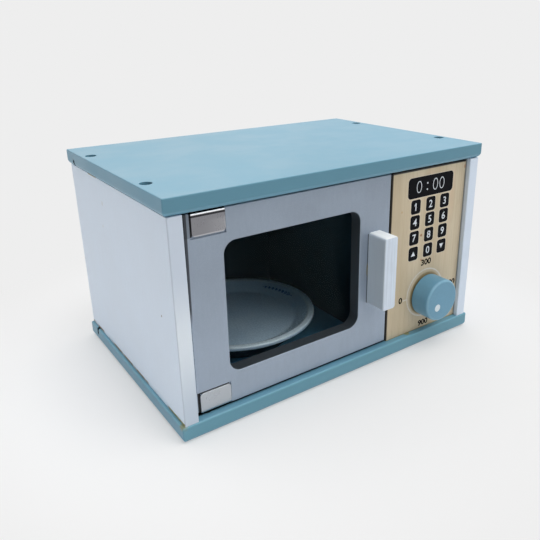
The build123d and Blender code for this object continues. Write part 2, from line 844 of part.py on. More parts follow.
nodes = {
    "bottom_panel": bottom_panel,
    "top_panel": top_panel,
    "left_side_panel": left_side_panel,
    "right_side_panel": right_side_panel,
    "back_panel": back_panel,
    "partition": partition,
    "control_panel": control_panel,
    "top_screws": top_screws,
    "bottom_screws": bottom_screws,
    "partition_dowels": partition_dowels,
    "control_panel_dowels": control_panel_dowels,
    "upper_hinge_bush": upper_hinge_bush,
    "lower_hinge_bush": lower_hinge_bush,
    "catch_magnets": catch_magnets,
    "turntable_spindle": turntable_spindle,
    "door_panel": door_panel,
    "window_pane": window_pane,
    "pane_screws": pane_screws,
    "door_handle": door_handle,
    "handle_screws": handle_screws,
    "upper_hinge_plate": upper_hinge_plate,
    "lower_hinge_plate": lower_hinge_plate,
    "hinge_pins": hinge_pins,
    "hinge_screws": hinge_screws,
    "catch_plate": catch_plate,
    "catch_screws": catch_screws,
    "control_knob": control_knob,
    "knob_front_washer": knob_front_washer,
    "knob_back_washer": knob_back_washer,
    "knob_screw": knob_screw,
    "turntable": turntable,
    "turntable_washer": turntable_washer,
    "plate": plate,
}
os.makedirs("parts", exist_ok=True)
for name, builder in nodes.items():
    builder.part.label = name
    export_step(builder.part, f"parts/{name}.step")
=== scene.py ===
import math

import bmesh
import bpy
from mathutils import Matrix, Vector
from mathutils.bvhtree import BVHTree


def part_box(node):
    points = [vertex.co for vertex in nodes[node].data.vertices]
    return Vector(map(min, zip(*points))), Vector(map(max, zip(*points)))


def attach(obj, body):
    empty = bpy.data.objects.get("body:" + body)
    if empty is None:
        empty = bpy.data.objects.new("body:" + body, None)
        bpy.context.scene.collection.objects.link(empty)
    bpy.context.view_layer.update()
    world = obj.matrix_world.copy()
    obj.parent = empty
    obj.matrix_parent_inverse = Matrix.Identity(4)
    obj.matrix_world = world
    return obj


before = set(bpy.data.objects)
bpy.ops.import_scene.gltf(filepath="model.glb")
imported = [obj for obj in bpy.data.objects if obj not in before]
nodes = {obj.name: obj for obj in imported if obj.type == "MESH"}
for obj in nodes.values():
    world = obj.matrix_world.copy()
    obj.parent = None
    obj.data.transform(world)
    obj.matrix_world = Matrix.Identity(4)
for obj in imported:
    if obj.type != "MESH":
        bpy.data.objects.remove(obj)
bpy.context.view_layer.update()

# Toy microwave: looks, prints, light and camera. Metres, X right, Y back, Z up.

MM = 0.001

# Camera
camera_place = (-0.2794663, -0.4244520, 0.2721011)
camera_right = (0.810331, -0.585900, -0.009230)
camera_up = (0.208089, 0.273002, 0.939238)
camera_back = (-0.547780, -0.763014, 0.343141)
camera_lens = 38.98
camera_shift = (-0.05698, -0.04536)

# Light and floor
background_level = 0.855
sky_level = 0.87
dim_side = (-0.584, -0.812, 0.0)
dim_depth = 0.85
softboxes = {
    "overhead_softbox": ((0.05, -0.25, 1.40), 1.0, 7.7),
    "front_softbox": ((0.35, -1.05, 1.00), 0.7, 3.3),
    "back_softbox": ((0.50, 1.30, 0.90), 0.8, 1.0),
}
softbox_target = (0.0, 0.0, 0.08)
floor_reach = 30.0
floor_left_albedo = 0.98
floor_right_albedo = 0.83
floor_tint_reach = 0.25
floor_blend_near = 0.42
floor_blend_start = 0.185
floor_blend_end = 0.33
floor_far_albedo = 0.25
floor_far_start = 0.75
floor_far_end = 1.20

# Prints on the control panel
print_thickness = 0.03 * MM
print_halo = 0.45 * MM
display_centre = (93.5 * MM, 149.0 * MM)
display_size = (55.0 * MM, 18.0 * MM)
display_corner = 3.5 * MM
digit_centres = [(78.98 * MM, 149.3 * MM), (98.7 * MM, 149.2 * MM), (106.8 * MM, 149.1 * MM)]
digit_half_size = (3.05 * MM, 5.15 * MM)
digit_stroke = 0.66 * MM
colon_centres = [(88.85 * MM, 151.4 * MM), (88.85 * MM, 146.0 * MM)]
colon_radius = 0.75 * MM
key_size = (11.4 * MM, 12.5 * MM)
key_corner = 2.3 * MM
key_columns = [76.2 * MM, 94.4 * MM, 111.9 * MM]
key_rows = [132.4 * MM, 118.6 * MM, 104.5 * MM, 90.0 * MM]
key_labels = ["123", "456", "789", " 0 "]
key_number_height = 6.7 * MM
key_number_weight = 0.010
one_flag_reach = 1.7 * MM
one_flag_width = 1.0 * MM
arrow_half_width = 2.5 * MM
arrow_height = 4.4 * MM
dial_numbers = {
    "0": (63.6 * MM, 48.6 * MM),
    "300": (93.5 * MM, 78.9 * MM),
    "600": (128.6 * MM, 49.7 * MM),
    "900": (94.4 * MM, 18.8 * MM),
}
dial_number_height = 5.9 * MM
dial_number_weight = 0.034
dial_number_spread = 1.12
dial_centre = (94.3 * MM, 48.9 * MM)
dial_ring_radius = 22.6 * MM
dial_ring_width = 1.3 * MM
dial_tick_length = 4.6 * MM
dial_tick_width = 1.3 * MM

# Door: edges of its paint, and how much the pane mirrors
soft_rim = 0.2 * MM
window_pane_overlap = 7.0 * MM
pane_square_mirror = 0.0024
pane_slant_mirror = 0.6
hinge_gap_reach = 1.7 * MM
hinge_side_shade = 0.9 * MM

# Knob: painted shadow on the wood round it, and the mark on its face
knob_shadow_reach = 2.1 * MM
knob_shadow_shift = (-0.7 * MM, 0.0, 0.9 * MM)
knob_dot_offset = (-5.6 * MM, -5.6 * MM)
knob_dot_radius = 3.4 * MM
knob_dot_crown = 0.12 * MM

# Sprigs on the plate
sprig_radius = 60.5 * MM
sprig_angles = [(-2.0, 34.0), (178.0, 214.0)]
sprig_stem_width = 0.55 * MM
sprig_leaf_length = 4.0 * MM
sprig_leaf_width = 1.25 * MM
sprig_leaf_pairs = 9
sprig_leaf_lean = 32.0
sprig_leaf_steps = 8
glaze_lift = 0.06 * MM


# Small helpers for colours and shader nodes

def srgb(red, green, blue):
    """A colour given in 0 to 255 as a linear RGBA value."""
    channels = []
    for value in (red, green, blue):
        share = value / 255
        channels.append(share / 12.92 if share <= 0.04045 else ((share + 0.055) / 1.055) ** 2.4)
    return (*channels, 1.0)


def connect(tree, value, socket):
    if isinstance(value, bpy.types.NodeSocket):
        tree.links.new(value, socket)
    else:
        socket.default_value = value


def add_node(tree, kind, inputs, **settings):
    node = tree.nodes.new(kind)
    for name, value in settings.items():
        setattr(node, name, value)
    for key, value in inputs.items():
        connect(tree, value, node.inputs[key])
    return node


def calc(tree, operation, first, second=0.0):
    return add_node(tree, "ShaderNodeMath", {0: first, 1: second}, operation=operation).outputs[0]


def step(tree, value, low, high, start=0.0, end=1.0):
    """A smooth step of value from start at low to end at high."""
    inputs = {"Value": value, "From Min": low, "From Max": high, "To Min": start, "To Max": end}
    return add_node(
        tree, "ShaderNodeMapRange", inputs, interpolation_type="SMOOTHSTEP"
    ).outputs["Result"]


def fade(tree, value, low, high):
    """A smooth step down, from 1 at low to 0 at high."""
    return step(tree, value, low, high, 1.0, 0.0)


def times(tree, first, *others):
    """The product of two or more values."""
    for other in others:
        first = calc(tree, "MULTIPLY", first, other)
    return first


def apart(tree, value, place):
    """How far a coordinate is from a place along its axis."""
    return calc(tree, "ABSOLUTE", calc(tree, "SUBTRACT", value, place))


def radial(tree, first, first_centre, second, second_centre):
    """How far a point is from an axis, by its two coordinates across that axis."""
    across = calc(tree, "SUBTRACT", first, first_centre)
    up = calc(tree, "SUBTRACT", second, second_centre)
    return calc(tree, "SQRT", calc(tree, "ADD", times(tree, across, across), times(tree, up, up)))


def mix(tree, factor, first, second, mode="MIX"):
    return add_node(
        tree,
        "ShaderNodeMix",
        {0: factor, 6: first, 7: second},
        data_type="RGBA",
        blend_type=mode,
    ).outputs[2]


def vector_math(tree, operation, *inputs):
    return add_node(tree, "ShaderNodeVectorMath", dict(enumerate(inputs)), operation=operation).outputs


def mix_shaders(tree, factor, first, second):
    return add_node(tree, "ShaderNodeMixShader", {0: factor, 1: first.outputs[0], 2: second.outputs[0]})


def position(tree):
    return tree.nodes.new("ShaderNodeTexCoord").outputs["Object"]


def stretch(tree, vector, scale):
    return add_node(tree, "ShaderNodeMapping", {"Vector": vector, "Scale": scale}).outputs[0]


def noise(tree, vector, scale, detail=4.0, roughness=0.55, distortion=0.0):
    inputs = {"Vector": vector, "Scale": scale, "Detail": detail, "Roughness": roughness,
              "Distortion": distortion}
    return add_node(tree, "ShaderNodeTexNoise", inputs).outputs[0]


def bump(tree, height, distance, strength=1.0, normal=None):
    inputs = {"Height": height, "Distance": distance, "Strength": strength}
    if normal is not None:
        inputs["Normal"] = normal
    return add_node(tree, "ShaderNodeBump", inputs).outputs["Normal"]


def split(tree, vector):
    return add_node(tree, "ShaderNodeSeparateXYZ", {0: vector}).outputs


def edge_nearness(tree, vector, box, reach):
    """1 at the edges of a box, falling to 0 at reach from them."""
    low, high = box
    centre = (low + high) / 2
    half = (high - low) / 2
    size = vector_math(tree, "ABSOLUTE", vector_math(tree, "SUBTRACT", vector, centre)[0])[0]
    x, y, z = split(tree, vector_math(tree, "SUBTRACT", half, size)[0])
    smaller = calc(tree, "MINIMUM", x, y)
    larger = calc(tree, "MAXIMUM", x, y)
    middle = calc(tree, "MAXIMUM", smaller, calc(tree, "MINIMUM", larger, z))
    return fade(tree, middle, 0.0, reach)


def spot(tree, vector, centre, radius, softness=0.5):
    """1 in a small round mark, falling to 0 outside it."""
    distance = vector_math(tree, "DISTANCE", vector, centre)["Value"]
    return fade(tree, distance, radius * (1 - softness), radius)


def shaken(tree, vector, amount, scale):
    """The position pushed about by noise, for marks with an uneven outline."""
    wander = add_node(tree, "ShaderNodeTexNoise", {"Vector": vector, "Scale": scale, "Detail": 3.0})
    centred = vector_math(tree, "SUBTRACT", wander.outputs["Color"], (0.5, 0.5, 0.5))[0]
    scaled = vector_math(tree, "MULTIPLY", centred, (amount, amount, amount))[0]
    return vector_math(tree, "ADD", vector, scaled)[0]


def start_material(name, roughness, metallic=0.0):
    material = bpy.data.materials.new(name)
    material.use_nodes = True
    tree = material.node_tree
    tree.nodes.clear()
    output = tree.nodes.new("ShaderNodeOutputMaterial")
    shader = tree.nodes.new("ShaderNodeBsdfPrincipled")
    shader.inputs["Roughness"].default_value = roughness
    shader.inputs["Metallic"].default_value = metallic
    tree.links.new(shader.outputs["BSDF"], output.inputs["Surface"])
    return material, tree, shader


def dress(node, material):
    """Give a CAD node its material, in each slot it has."""
    mesh = nodes[node].data
    if not mesh.materials:
        mesh.materials.append(material)
    for index in range(len(mesh.materials)):
        mesh.materials[index] = material


# Paints

def painted(name, box, colour, worn, roughness, grain, wear=0.5, reach=1.6 * MM, vary=1.0,
            height=0.06 * MM):
    """Brushed paint on wood: slight mottling, faint grain through it, and rubbed edges."""
    material, tree, shader = start_material(name, roughness)
    place = position(tree)
    clouds = noise(tree, place, 22.0, 3.0)
    fine = noise(tree, place, 900.0, 4.0, 0.6)
    lines = noise(tree, stretch(tree, place, grain), 420.0, 5.0, 0.6, 0.4)
    tint = step(tree, clouds, 0.3, 0.7, 1 - 0.05 * vary, 1 + 0.04 * vary)
    tint = times(tree, tint, step(tree, lines, 0.25, 0.75, 1 - 0.025 * vary, 1 + 0.02 * vary))
    tint = times(tree, tint, step(tree, fine, 0.3, 0.7, 0.988, 1.01))
    shade = mix(tree, 1.0, colour, combine(tree, tint), "MULTIPLY")
    ragged = step(tree, noise(tree, place, 260.0, 5.0, 0.65), 0.42, 0.68)
    rubbed = times(tree, edge_nearness(tree, place, box, reach), ragged)
    rubbed = times(tree, rubbed, wear)
    shade = mix(tree, rubbed, shade, worn)
    connect(tree, shade, shader.inputs["Base Color"])
    rough = calc(tree, "ADD", step(tree, clouds, 0.3, 0.7, roughness - 0.04, roughness + 0.05),
                 times(tree, rubbed, 0.2))
    connect(tree, rough, shader.inputs["Roughness"])
    relief = calc(tree, "ADD", times(tree, lines, 0.6), fine)
    connect(tree, bump(tree, relief, height, 0.5), shader.inputs["Normal"])
    return material, tree, shader, place


def combine(tree, value):
    """A grey colour from one value."""
    return add_node(tree, "ShaderNodeCombineColor", {0: value, 1: value, 2: value}).outputs[0]


def recolour(tree, shader, factor, colour, strength=1.0):
    """Lay a colour over what already feeds the shader, by a mask."""
    socket = shader.inputs["Base Color"]
    below = socket.links[0].from_socket
    connect(tree, mix(tree, times(tree, factor, strength), below, colour), socket)


teal = srgb(108, 159, 181)
teal_worn = srgb(150, 186, 198)
teal_end = srgb(82, 138, 164)
teal_front_shade = srgb(86, 138, 158)
teal_sheen = srgb(116, 166, 189)
teal_lower_front_shade = srgb(96, 153, 170)
teal_arris_highlight = srgb(122, 180, 198)
door_gap_shadow = srgb(12, 14, 14)
left_edge_shade = srgb(34, 28, 22)
# How far the groove's painted shade reaches up on the top panel's end
slit_shade_height = 1.8 * MM
end_grain_and_shade_share = 0.6
teal_knob_colour = srgb(105, 157, 184)
white_paint = srgb(221, 234, 249)
white_worn = srgb(190, 186, 172)
handle_top_highlight = srgb(250, 254, 255)
handle_flank_shade = srgb(200, 211, 220)
silver_paint = srgb(158, 171, 187)
silver_worn = srgb(198, 203, 210)
dark_paint = srgb(34, 54, 63)
dark_worn = srgb(86, 84, 80)
olive_stain = srgb(140, 132, 56)
seam_brown = srgb(134, 98, 50)
seam_height = 2.2 * MM
raw_edge = srgb(186, 176, 152)
arris_shade_grey = srgb(138, 146, 158)
arris_place = 0.7 * MM
join_shade_width = 1.5 * MM
join_shade_grey = srgb(84, 82, 76)
front_shade = srgb(208, 219, 233)
front_lit_pale = srgb(232, 241, 249)
front_low_shade = srgb(199, 212, 226)
brown_stain = srgb(112, 86, 60)
fold_highlight = srgb(232, 232, 234)
top_shadow = 1.3 * MM
foot_shadow = 0.8 * MM
reveal_grey = srgb(70, 76, 82)
# Near black, for painted shade in gaps, round the handle and on the upper hinge plate
gap_shade = srgb(24, 24, 27)
glue_olive = srgb(138, 128, 92)
glue_height_share = 4.5
fold_shadow = 0.8 * MM
fold_height = 1.8 * MM
fold_dark_line = 1.4 * MM
rim_highlight = srgb(186, 187, 191)
# Near black, for painted shade in the groove and under the top panel
deep_shade = srgb(18, 16, 15)
flake_pale = srgb(206, 210, 216)
speck_dark = srgb(112, 118, 128)
grain_ridge = srgb(168, 182, 196)
knob_arris_wear_and_highlight = srgb(160, 204, 220)
knob_shadow = srgb(146, 124, 76)
wood_rim = srgb(150, 126, 92)
along_depth = (0.1, 1.0, 0.1)

# Marks: centre, radius, softness and strength on the bottom panel's ledge
ledge_stains = (
    ((73.0 * MM, -96.5 * MM, 13.2 * MM), 4.0 * MM, 0.6, 0.8),
    ((-148.4 * MM, -98.6 * MM, 13.4 * MM), 4.2 * MM, 0.7, 0.7),
)
# Depth, height and radius in mm, softness, colour and strength on the left side panel
left_board_marks = (
    (-76.6, 90.4, 1.1, 0.5, brown_stain, 0.75),
    (26.0, 147.0, 2.6, 0.8, white_worn, 0.35),
    (31.5, 127.0, 1.8, 0.8, white_worn, 0.35),
)
# Across, height and radius in mm, colour and strength on the control panel
wood_marks = (
    (84.9, 105.4, 1.7, srgb(150, 92, 50), 0.85),
    (86.8, 81.9, 1.5, srgb(176, 108, 66), 0.75),
    (136.0, 159.4, 2.2, srgb(184, 120, 70), 0.55),
    (60.0, 130.5, 1.4, srgb(190, 150, 100), 0.5),
)


def teal_board(node):
    """Teal paint, with painted shade in the back panel's groove and on the front faces, end faces darker
    partly from end grain and partly as painted shade, and a painted sheen on the top panel's top; the bottom
    panel also has its ledge's marks.
    """
    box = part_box(node)
    material, tree, shader, place = painted(
        "teal_" + node, box, teal, teal_worn, 0.38, (0.05, 1.0, 1.0), 0.22, 1.0 * MM, 0.45, 0.04 * MM
    )
    x, y, z = split(tree, place)
    # Painted shade: the groove's walls are painted near black, and on the top panel a little above the slit
    # too
    sheet_low, sheet_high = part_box("back_panel")
    half_height = (sheet_high.z - sheet_low.z) / 2
    reach = half_height + (slit_shade_height if node == "top_panel" else 0.4 * MM)
    from_groove = apart(tree, y, (sheet_low.y + sheet_high.y) / 2)
    height = apart(tree, z, (sheet_low.z + sheet_high.z) / 2)
    groove_shade = times(tree, fade(tree, from_groove, 1.95 * MM, 2.15 * MM),
                      fade(tree, height, reach, reach + 0.2 * MM))
    recolour(tree, shader, groove_shade, deep_shade)
    # Darker end faces: partly end grain taking the paint darker, partly painted shade
    end = step(tree, calc(tree, "ABSOLUTE", x), box[1].x - 0.5 * MM, box[1].x - 0.1 * MM)
    recolour(tree, shader, end, teal_end, end_grain_and_shade_share)
    front = fade(tree, y, box[0].y + 0.1 * MM, box[0].y + 0.4 * MM)
    upper_face = step(tree, z, box[1].z - 0.5 * MM, box[1].z - 0.2 * MM)
    if node == "top_panel":
        # Painted shade: the top panel's front face is darker
        recolour(tree, shader, front, teal_front_shade, 0.8)
        # Painted sheen: the top face grows lighter towards the right
        sheen_mask = times(tree, step(tree, x, -60.0 * MM, 130.0 * MM), upper_face)
        recolour(tree, shader, sheen_mask, teal_sheen)
    else:
        # Painted shade: the bottom panel's front face is darker
        recolour(tree, shader, front, teal_lower_front_shade, 0.6)
        mark_ledge(tree, shader, place, box, upper_face)
    return material


def mark_ledge(tree, shader, place, box, upper_face):
    """The bottom panel's painted highlight along its arris, painted shadow in the gap below the door, and
    two stains.
    """
    x, y, z = split(tree, place)
    # Painted highlight along the bottom panel's upper arris
    arris = times(tree, edge_nearness(tree, place, box, 1.8 * MM),
                  step(tree, z, box[1].z - 2.5 * MM, box[1].z - 1.2 * MM))
    recolour(tree, shader, arris, teal_arris_highlight, 0.7)
    door_low, door_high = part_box("door_panel")
    # Painted shadow: a black band on the ledge under the door's gap
    under_door_shadow = times(
        tree,
        step(tree, y, door_low.y + 0.8 * MM, door_low.y + 2.0 * MM),
        fade(tree, y, door_low.y + 6.0 * MM, door_low.y + 8.0 * MM),
        fade(tree, x, door_high.x + 1.6 * MM, door_high.x + 2.0 * MM),
        step(tree, x, door_low.x - 2.0 * MM, door_low.x - 1.6 * MM),
        upper_face,
    )
    recolour(tree, shader, under_door_shadow, door_gap_shadow)
    uneven = shaken(tree, place, 2.5 * MM, 400.0)
    for centre, radius, softness, strength in ledge_stains:
        recolour(tree, shader, spot(tree, uneven, centre, radius, softness), olive_stain, strength)


def white_board(node):
    """White paint, dark on the oven's inner face, with painted shade along the outer front arris and, on the
    right panel, where it meets the control panel.
    """
    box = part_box(node)
    material, tree, shader, place = painted(
        "white_" + node, box, white_paint, white_worn, 0.44, (1.0, 1.0, 0.06), 0.22, 1.0 * MM, 0.35
    )
    x, y, z = split(tree, place)
    left = box[0].x < 0
    outward = times(tree, x, -1.0 if left else 1.0)
    outer_face = abs(box[0].x if left else box[1].x)
    inner_face = abs(box[0].x + box[1].x) / 2 - 4.9 * MM
    inside = fade(tree, outward, inner_face - 0.3 * MM, inner_face + 0.1 * MM)
    behind_door = step(tree, y, -84.0 * MM, -82.0 * MM)
    recolour(tree, shader, times(tree, inside, behind_door), dark_paint)
    if left:
        mark_left_board(tree, shader, place, box)
    else:
        # Painted shade on the right panel's inner face, next to the control panel's front
        wood_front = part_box("control_panel")[0].y
        join = step(tree, y, wood_front - join_shade_width, wood_front - join_shade_width * 0.3)
        recolour(tree, shader, times(tree, join, inside), join_shade_grey, 0.6)
    # Painted shade: a grey line along the outer front arris
    outer = step(tree, outward, outer_face - 0.9 * MM, outer_face - 0.6 * MM)
    arris = fade(tree, apart(tree, y, box[0].y + arris_place), 0.1 * MM, 0.35 * MM)
    recolour(tree, shader, times(tree, arris, outer), arris_shade_grey, 0.55)
    return material


def mark_left_board(tree, shader, place, box):
    """The left side panel's stains, its seams at foot and top, and painted light and shade graded up its
    front.
    """
    _, y, z = split(tree, place)
    uneven = shaken(tree, place, 1.6 * MM, 500.0)
    for back, height, radius, softness, colour, strength in left_board_marks:
        mark = spot(tree, uneven, (box[0].x, back * MM, height * MM), radius * MM, softness)
        recolour(tree, shader, mark, colour, strength)
    seam = fade(tree, z, box[0].z + seam_height * 0.6, box[0].z + seam_height)
    gaps = step(tree, noise(tree, stretch(tree, place, along_depth), 34.0, 2.0), 0.40, 0.50)
    whole = fade(tree, y, box[0].y + 26.0 * MM, box[0].y + 32.0 * MM)
    tone = mix(tree, step(tree, y, box[0].y + 16.0 * MM, box[0].y + 40.0 * MM), olive_stain, seam_brown)
    recolour(tree, shader, times(tree, seam, calc(tree, "MAXIMUM", gaps, whole)), tone, 0.9)
    raw = step(tree, z, box[1].z - 1.0 * MM, box[1].z - 0.6 * MM)
    patches = step(tree, noise(tree, stretch(tree, place, along_depth), 26.0, 2.0), 0.56, 0.64)
    recolour(tree, shader, times(tree, raw, patches), raw_edge)
    # Painted light and shade: the front face is darker low and high, and paler in between
    front = fade(tree, y, box[0].y + 0.2 * MM, box[0].y + 0.5 * MM)
    tone = mix(tree, step(tree, z, 15.0 * MM, 80.0 * MM), front_low_shade, front_lit_pale)
    tone = mix(tree, step(tree, z, 80.0 * MM, 130.0 * MM), tone, front_shade)
    recolour(tree, shader, front, tone)


def silver_board(node):
    """Silver paint: fine flakes in a grey binder, with painted shade that darkens it towards the top and
    painted shade round the hinge plates and the handle.
    """
    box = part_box(node)
    material, tree, shader, place = painted(
        "silver_" + node, box, silver_paint, silver_worn, 0.46, (1.0, 1.0, 0.2), 0.45
    )
    shader.inputs["Metallic"].default_value = 0.35
    x, y, z = split(tree, place)
    # Painted shade: the paint is lighter at the bottom and darker towards the top
    top_shade_ramp = combine(tree, step(tree, z, box[0].z, box[1].z, 1.06, 0.88))
    below = shader.inputs["Base Color"].links[0].from_socket
    connect(tree, mix(tree, 1.0, below, top_shade_ramp, "MULTIPLY"), shader.inputs["Base Color"])
    flakes = step(tree, noise(tree, place, 2600.0, 2.0, 0.6), 0.56, 0.72)
    recolour(tree, shader, flakes, flake_pale, 0.30)
    specks = step(tree, noise(tree, place, 1500.0, 2.0, 0.5), 0.66, 0.74)
    recolour(tree, shader, specks, speck_dark, 0.22)
    front = box[0].y
    below_front = step(tree, y, front + 0.25 * MM, front + 0.5 * MM)
    pane_low, pane_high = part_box("window_pane")
    margin = Vector((window_pane_overlap - 0.4 * MM, 0.0, window_pane_overlap - 0.4 * MM))
    reveal = within(tree, x, z, pane_low + margin, pane_high - margin)
    recolour(tree, shader, times(tree, reveal, below_front), reveal_grey)
    shade_hinges(tree, shader, x, z, box, below_front)
    # Painted shade: dark beside the handle's sides, where it meets the door
    handle_low, handle_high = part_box("door_handle")
    rim = Vector((0.75 * MM, 0.0, -1.2 * MM))
    foot = within(tree, x, z, handle_low - rim, handle_high + rim)
    recolour(tree, shader, foot, gap_shade, 0.8)
    upright = stretch(tree, shaken(tree, place, 0.5 * MM, 900.0), (1.0, 1.0, 1.0 / glue_height_share))
    glue_place = (handle_low.x - 0.4 * MM, front, (handle_low.z + 31.0 * MM) / glue_height_share)
    recolour(tree, shader, spot(tree, upright, glue_place, 1.7 * MM, 0.6), glue_olive, 0.75)
    return material


def shade_hinges(tree, shader, x, z, box, below_front):
    """Painted shade in the gaps round the hinge plates, along the door's hinged edge, and on the strip left
    of the upper plate.
    """
    # Painted shade: the gaps round each plate are painted near black
    for plate in ("upper_hinge_plate", "lower_hinge_plate"):
        low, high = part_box(plate)
        left = low.x - hinge_gap_reach
        top = high.z + hinge_gap_reach
        gap = within(tree, x, z, Vector((left, 0.0, low.z)), Vector((low.x + 0.3 * MM, 0.0, top)))
        if plate == "lower_hinge_plate":
            over = within(tree, x, z, Vector((left, 0.0, high.z - 0.2 * MM)),
                          Vector((high.x - 1.0 * MM, 0.0, top + hinge_gap_reach * 0.3)))
            gap = calc(tree, "MAXIMUM", gap, over)
        recolour(tree, shader, times(tree, gap, below_front), gap_shade)
    # Painted shade along the door's hinged edge, reaching further in towards the top
    lean = step(tree, z, 88.0 * MM, box[1].z, 0.0, hinge_side_shade)
    edge = fade(tree, calc(tree, "SUBTRACT", x, lean), box[0].x + 1.1 * MM, box[0].x + 1.5 * MM)
    edge = times(tree, edge, step(tree, z, 84.0 * MM, 100.0 * MM))
    recolour(tree, shader, edge, gap_shade, 0.85)
    # Painted shade on the strip of door left of the upper plate
    low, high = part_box("upper_hinge_plate")
    strip = within(tree, x, z, Vector((box[0].x, 0.0, low.z)),
                   Vector((low.x - hinge_gap_reach, 0.0, high.z)))
    recolour(tree, shader, strip, gap_shade, 0.4)


def within(tree, x, z, low, high):
    """1 inside an upright rectangle, with a narrow soft rim."""
    return times(
        tree,
        step(tree, x, low.x - soft_rim, low.x),
        fade(tree, x, high.x, high.x + soft_rim),
        step(tree, z, low.z - soft_rim, low.z),
        fade(tree, z, high.z, high.z + soft_rim),
    )


def dark_board(node):
    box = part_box(node)
    material, tree, shader, place = painted(
        "dark_" + node, box, dark_paint, dark_worn, 0.7, (1.0, 1.0, 0.08), 0.15, 1.0 * MM, 0.5, 0.006 * MM
    )
    shader.inputs["Specular IOR Level"].default_value = 0.12
    return material


def white_handle(node):
    """White paint over open grain, so that the grain runs along the handle as fine ridges, with a painted
    highlight on its top and painted shade on its left side.
    """
    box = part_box(node)
    material, tree, shader, place = painted(
        "white_" + node, box, srgb(220, 232, 246), srgb(206, 210, 212), 0.42,
        (1.0, 1.0, 0.07), 0.2, 0.9 * MM
    )
    ridges = noise(tree, stretch(tree, place, (1.0, 1.0, 0.04)), 480.0, 5.0, 0.65, 0.3)
    below = shader.inputs["Normal"].links[0].from_socket
    connect(tree, bump(tree, ridges, 0.16 * MM, 0.8, below), shader.inputs["Normal"])
    recolour(tree, shader, step(tree, ridges, 0.46, 0.66, 0.0, 0.26), grain_ridge)
    x, _, z = split(tree, place)
    # Painted highlight: the top face is painted whiter
    top = step(tree, z, box[1].z - 0.9 * MM, box[1].z - 0.3 * MM)
    recolour(tree, shader, top, handle_top_highlight)
    # Painted shade: the left side is painted darker
    flank = fade(tree, x, box[0].x + 0.3 * MM, box[0].x + 0.9 * MM)
    recolour(tree, shader, flank, handle_flank_shade, 0.8)
    return material


def teal_knob(node):
    """Teal paint on a turned knob: faint turning lines, and a paler front arris, partly rubbed paint and
    partly painted highlight.
    """
    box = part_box(node)
    centre = (box[0] + box[1]) / 2
    radius = (box[1].x - box[0].x) / 2
    material, tree, shader, place = painted(
        "teal_" + node, box, teal_knob_colour, teal_worn, 0.38, (1.0, 1.0, 1.0), 0.0
    )
    x, y, z = split(tree, place)
    from_axis = radial(tree, x, centre.x, z, centre.z)
    # Paler front arris: partly rubbed paint, partly painted highlight
    rim = step(tree, from_axis, radius - 2.6 * MM, radius - 0.7 * MM)
    front = fade(tree, y, box[0].y + 0.4 * MM, box[0].y + 2.4 * MM)
    rubbed = step(tree, noise(tree, place, 160.0), 0.25, 0.6, 0.4, 1.0)
    recolour(tree, shader, times(tree, rim, front, rubbed), knob_arris_wear_and_highlight, 0.45)
    rings = calc(tree, "SINE", times(tree, from_axis, 9000.0))
    below = shader.inputs["Normal"].links[0].from_socket
    connect(tree, bump(tree, rings, 0.012 * MM, 0.35, below), shader.inputs["Normal"])
    return material


def plate_white(node):
    """Glossy white paint on a turned plate, with faint turning rings, a little dust and a painted highlight
    on its lip.
    """
    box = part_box(node)
    centre = (box[0] + box[1]) / 2
    material, tree, shader = start_material("white_" + node, 0.24)
    place = position(tree)
    x, y, z = split(tree, place)
    from_axis = radial(tree, x, centre.x, y, centre.y)
    rings = calc(tree, "SINE", times(tree, from_axis, 5200.0))
    clouds = noise(tree, place, 30.0, 3.0)
    fine = noise(tree, place, 700.0, 4.0)
    # Bluish white: the blue partly stands for the bluish light inside the oven, as painted light
    shade = mix(tree, step(tree, clouds, 0.35, 0.65), srgb(216, 231, 246), srgb(226, 238, 250))
    dust = step(tree, noise(tree, place, 1300.0, 2.0), 0.66, 0.76, 0.0, 0.25)
    shade = mix(tree, dust, shade, srgb(196, 196, 190))
    # Painted highlight: the lip is painted whiter
    lip = step(tree, z, box[1].z - 1.6 * MM, box[1].z - 0.4 * MM)
    shade = mix(tree, times(tree, lip, 0.9), shade, srgb(248, 251, 253))
    connect(tree, shade, shader.inputs["Base Color"])
    connect(tree, step(tree, fine, 0.3, 0.7, 0.2, 0.32), shader.inputs["Roughness"])
    relief = calc(tree, "ADD", times(tree, rings, 0.25), fine)
    connect(tree, bump(tree, relief, 0.02 * MM, 0.5), shader.inputs["Normal"])
    shader.inputs["Coat Weight"].default_value = 0.6
    shader.inputs["Coat Roughness"].default_value = 0.08
    return material


# Woods

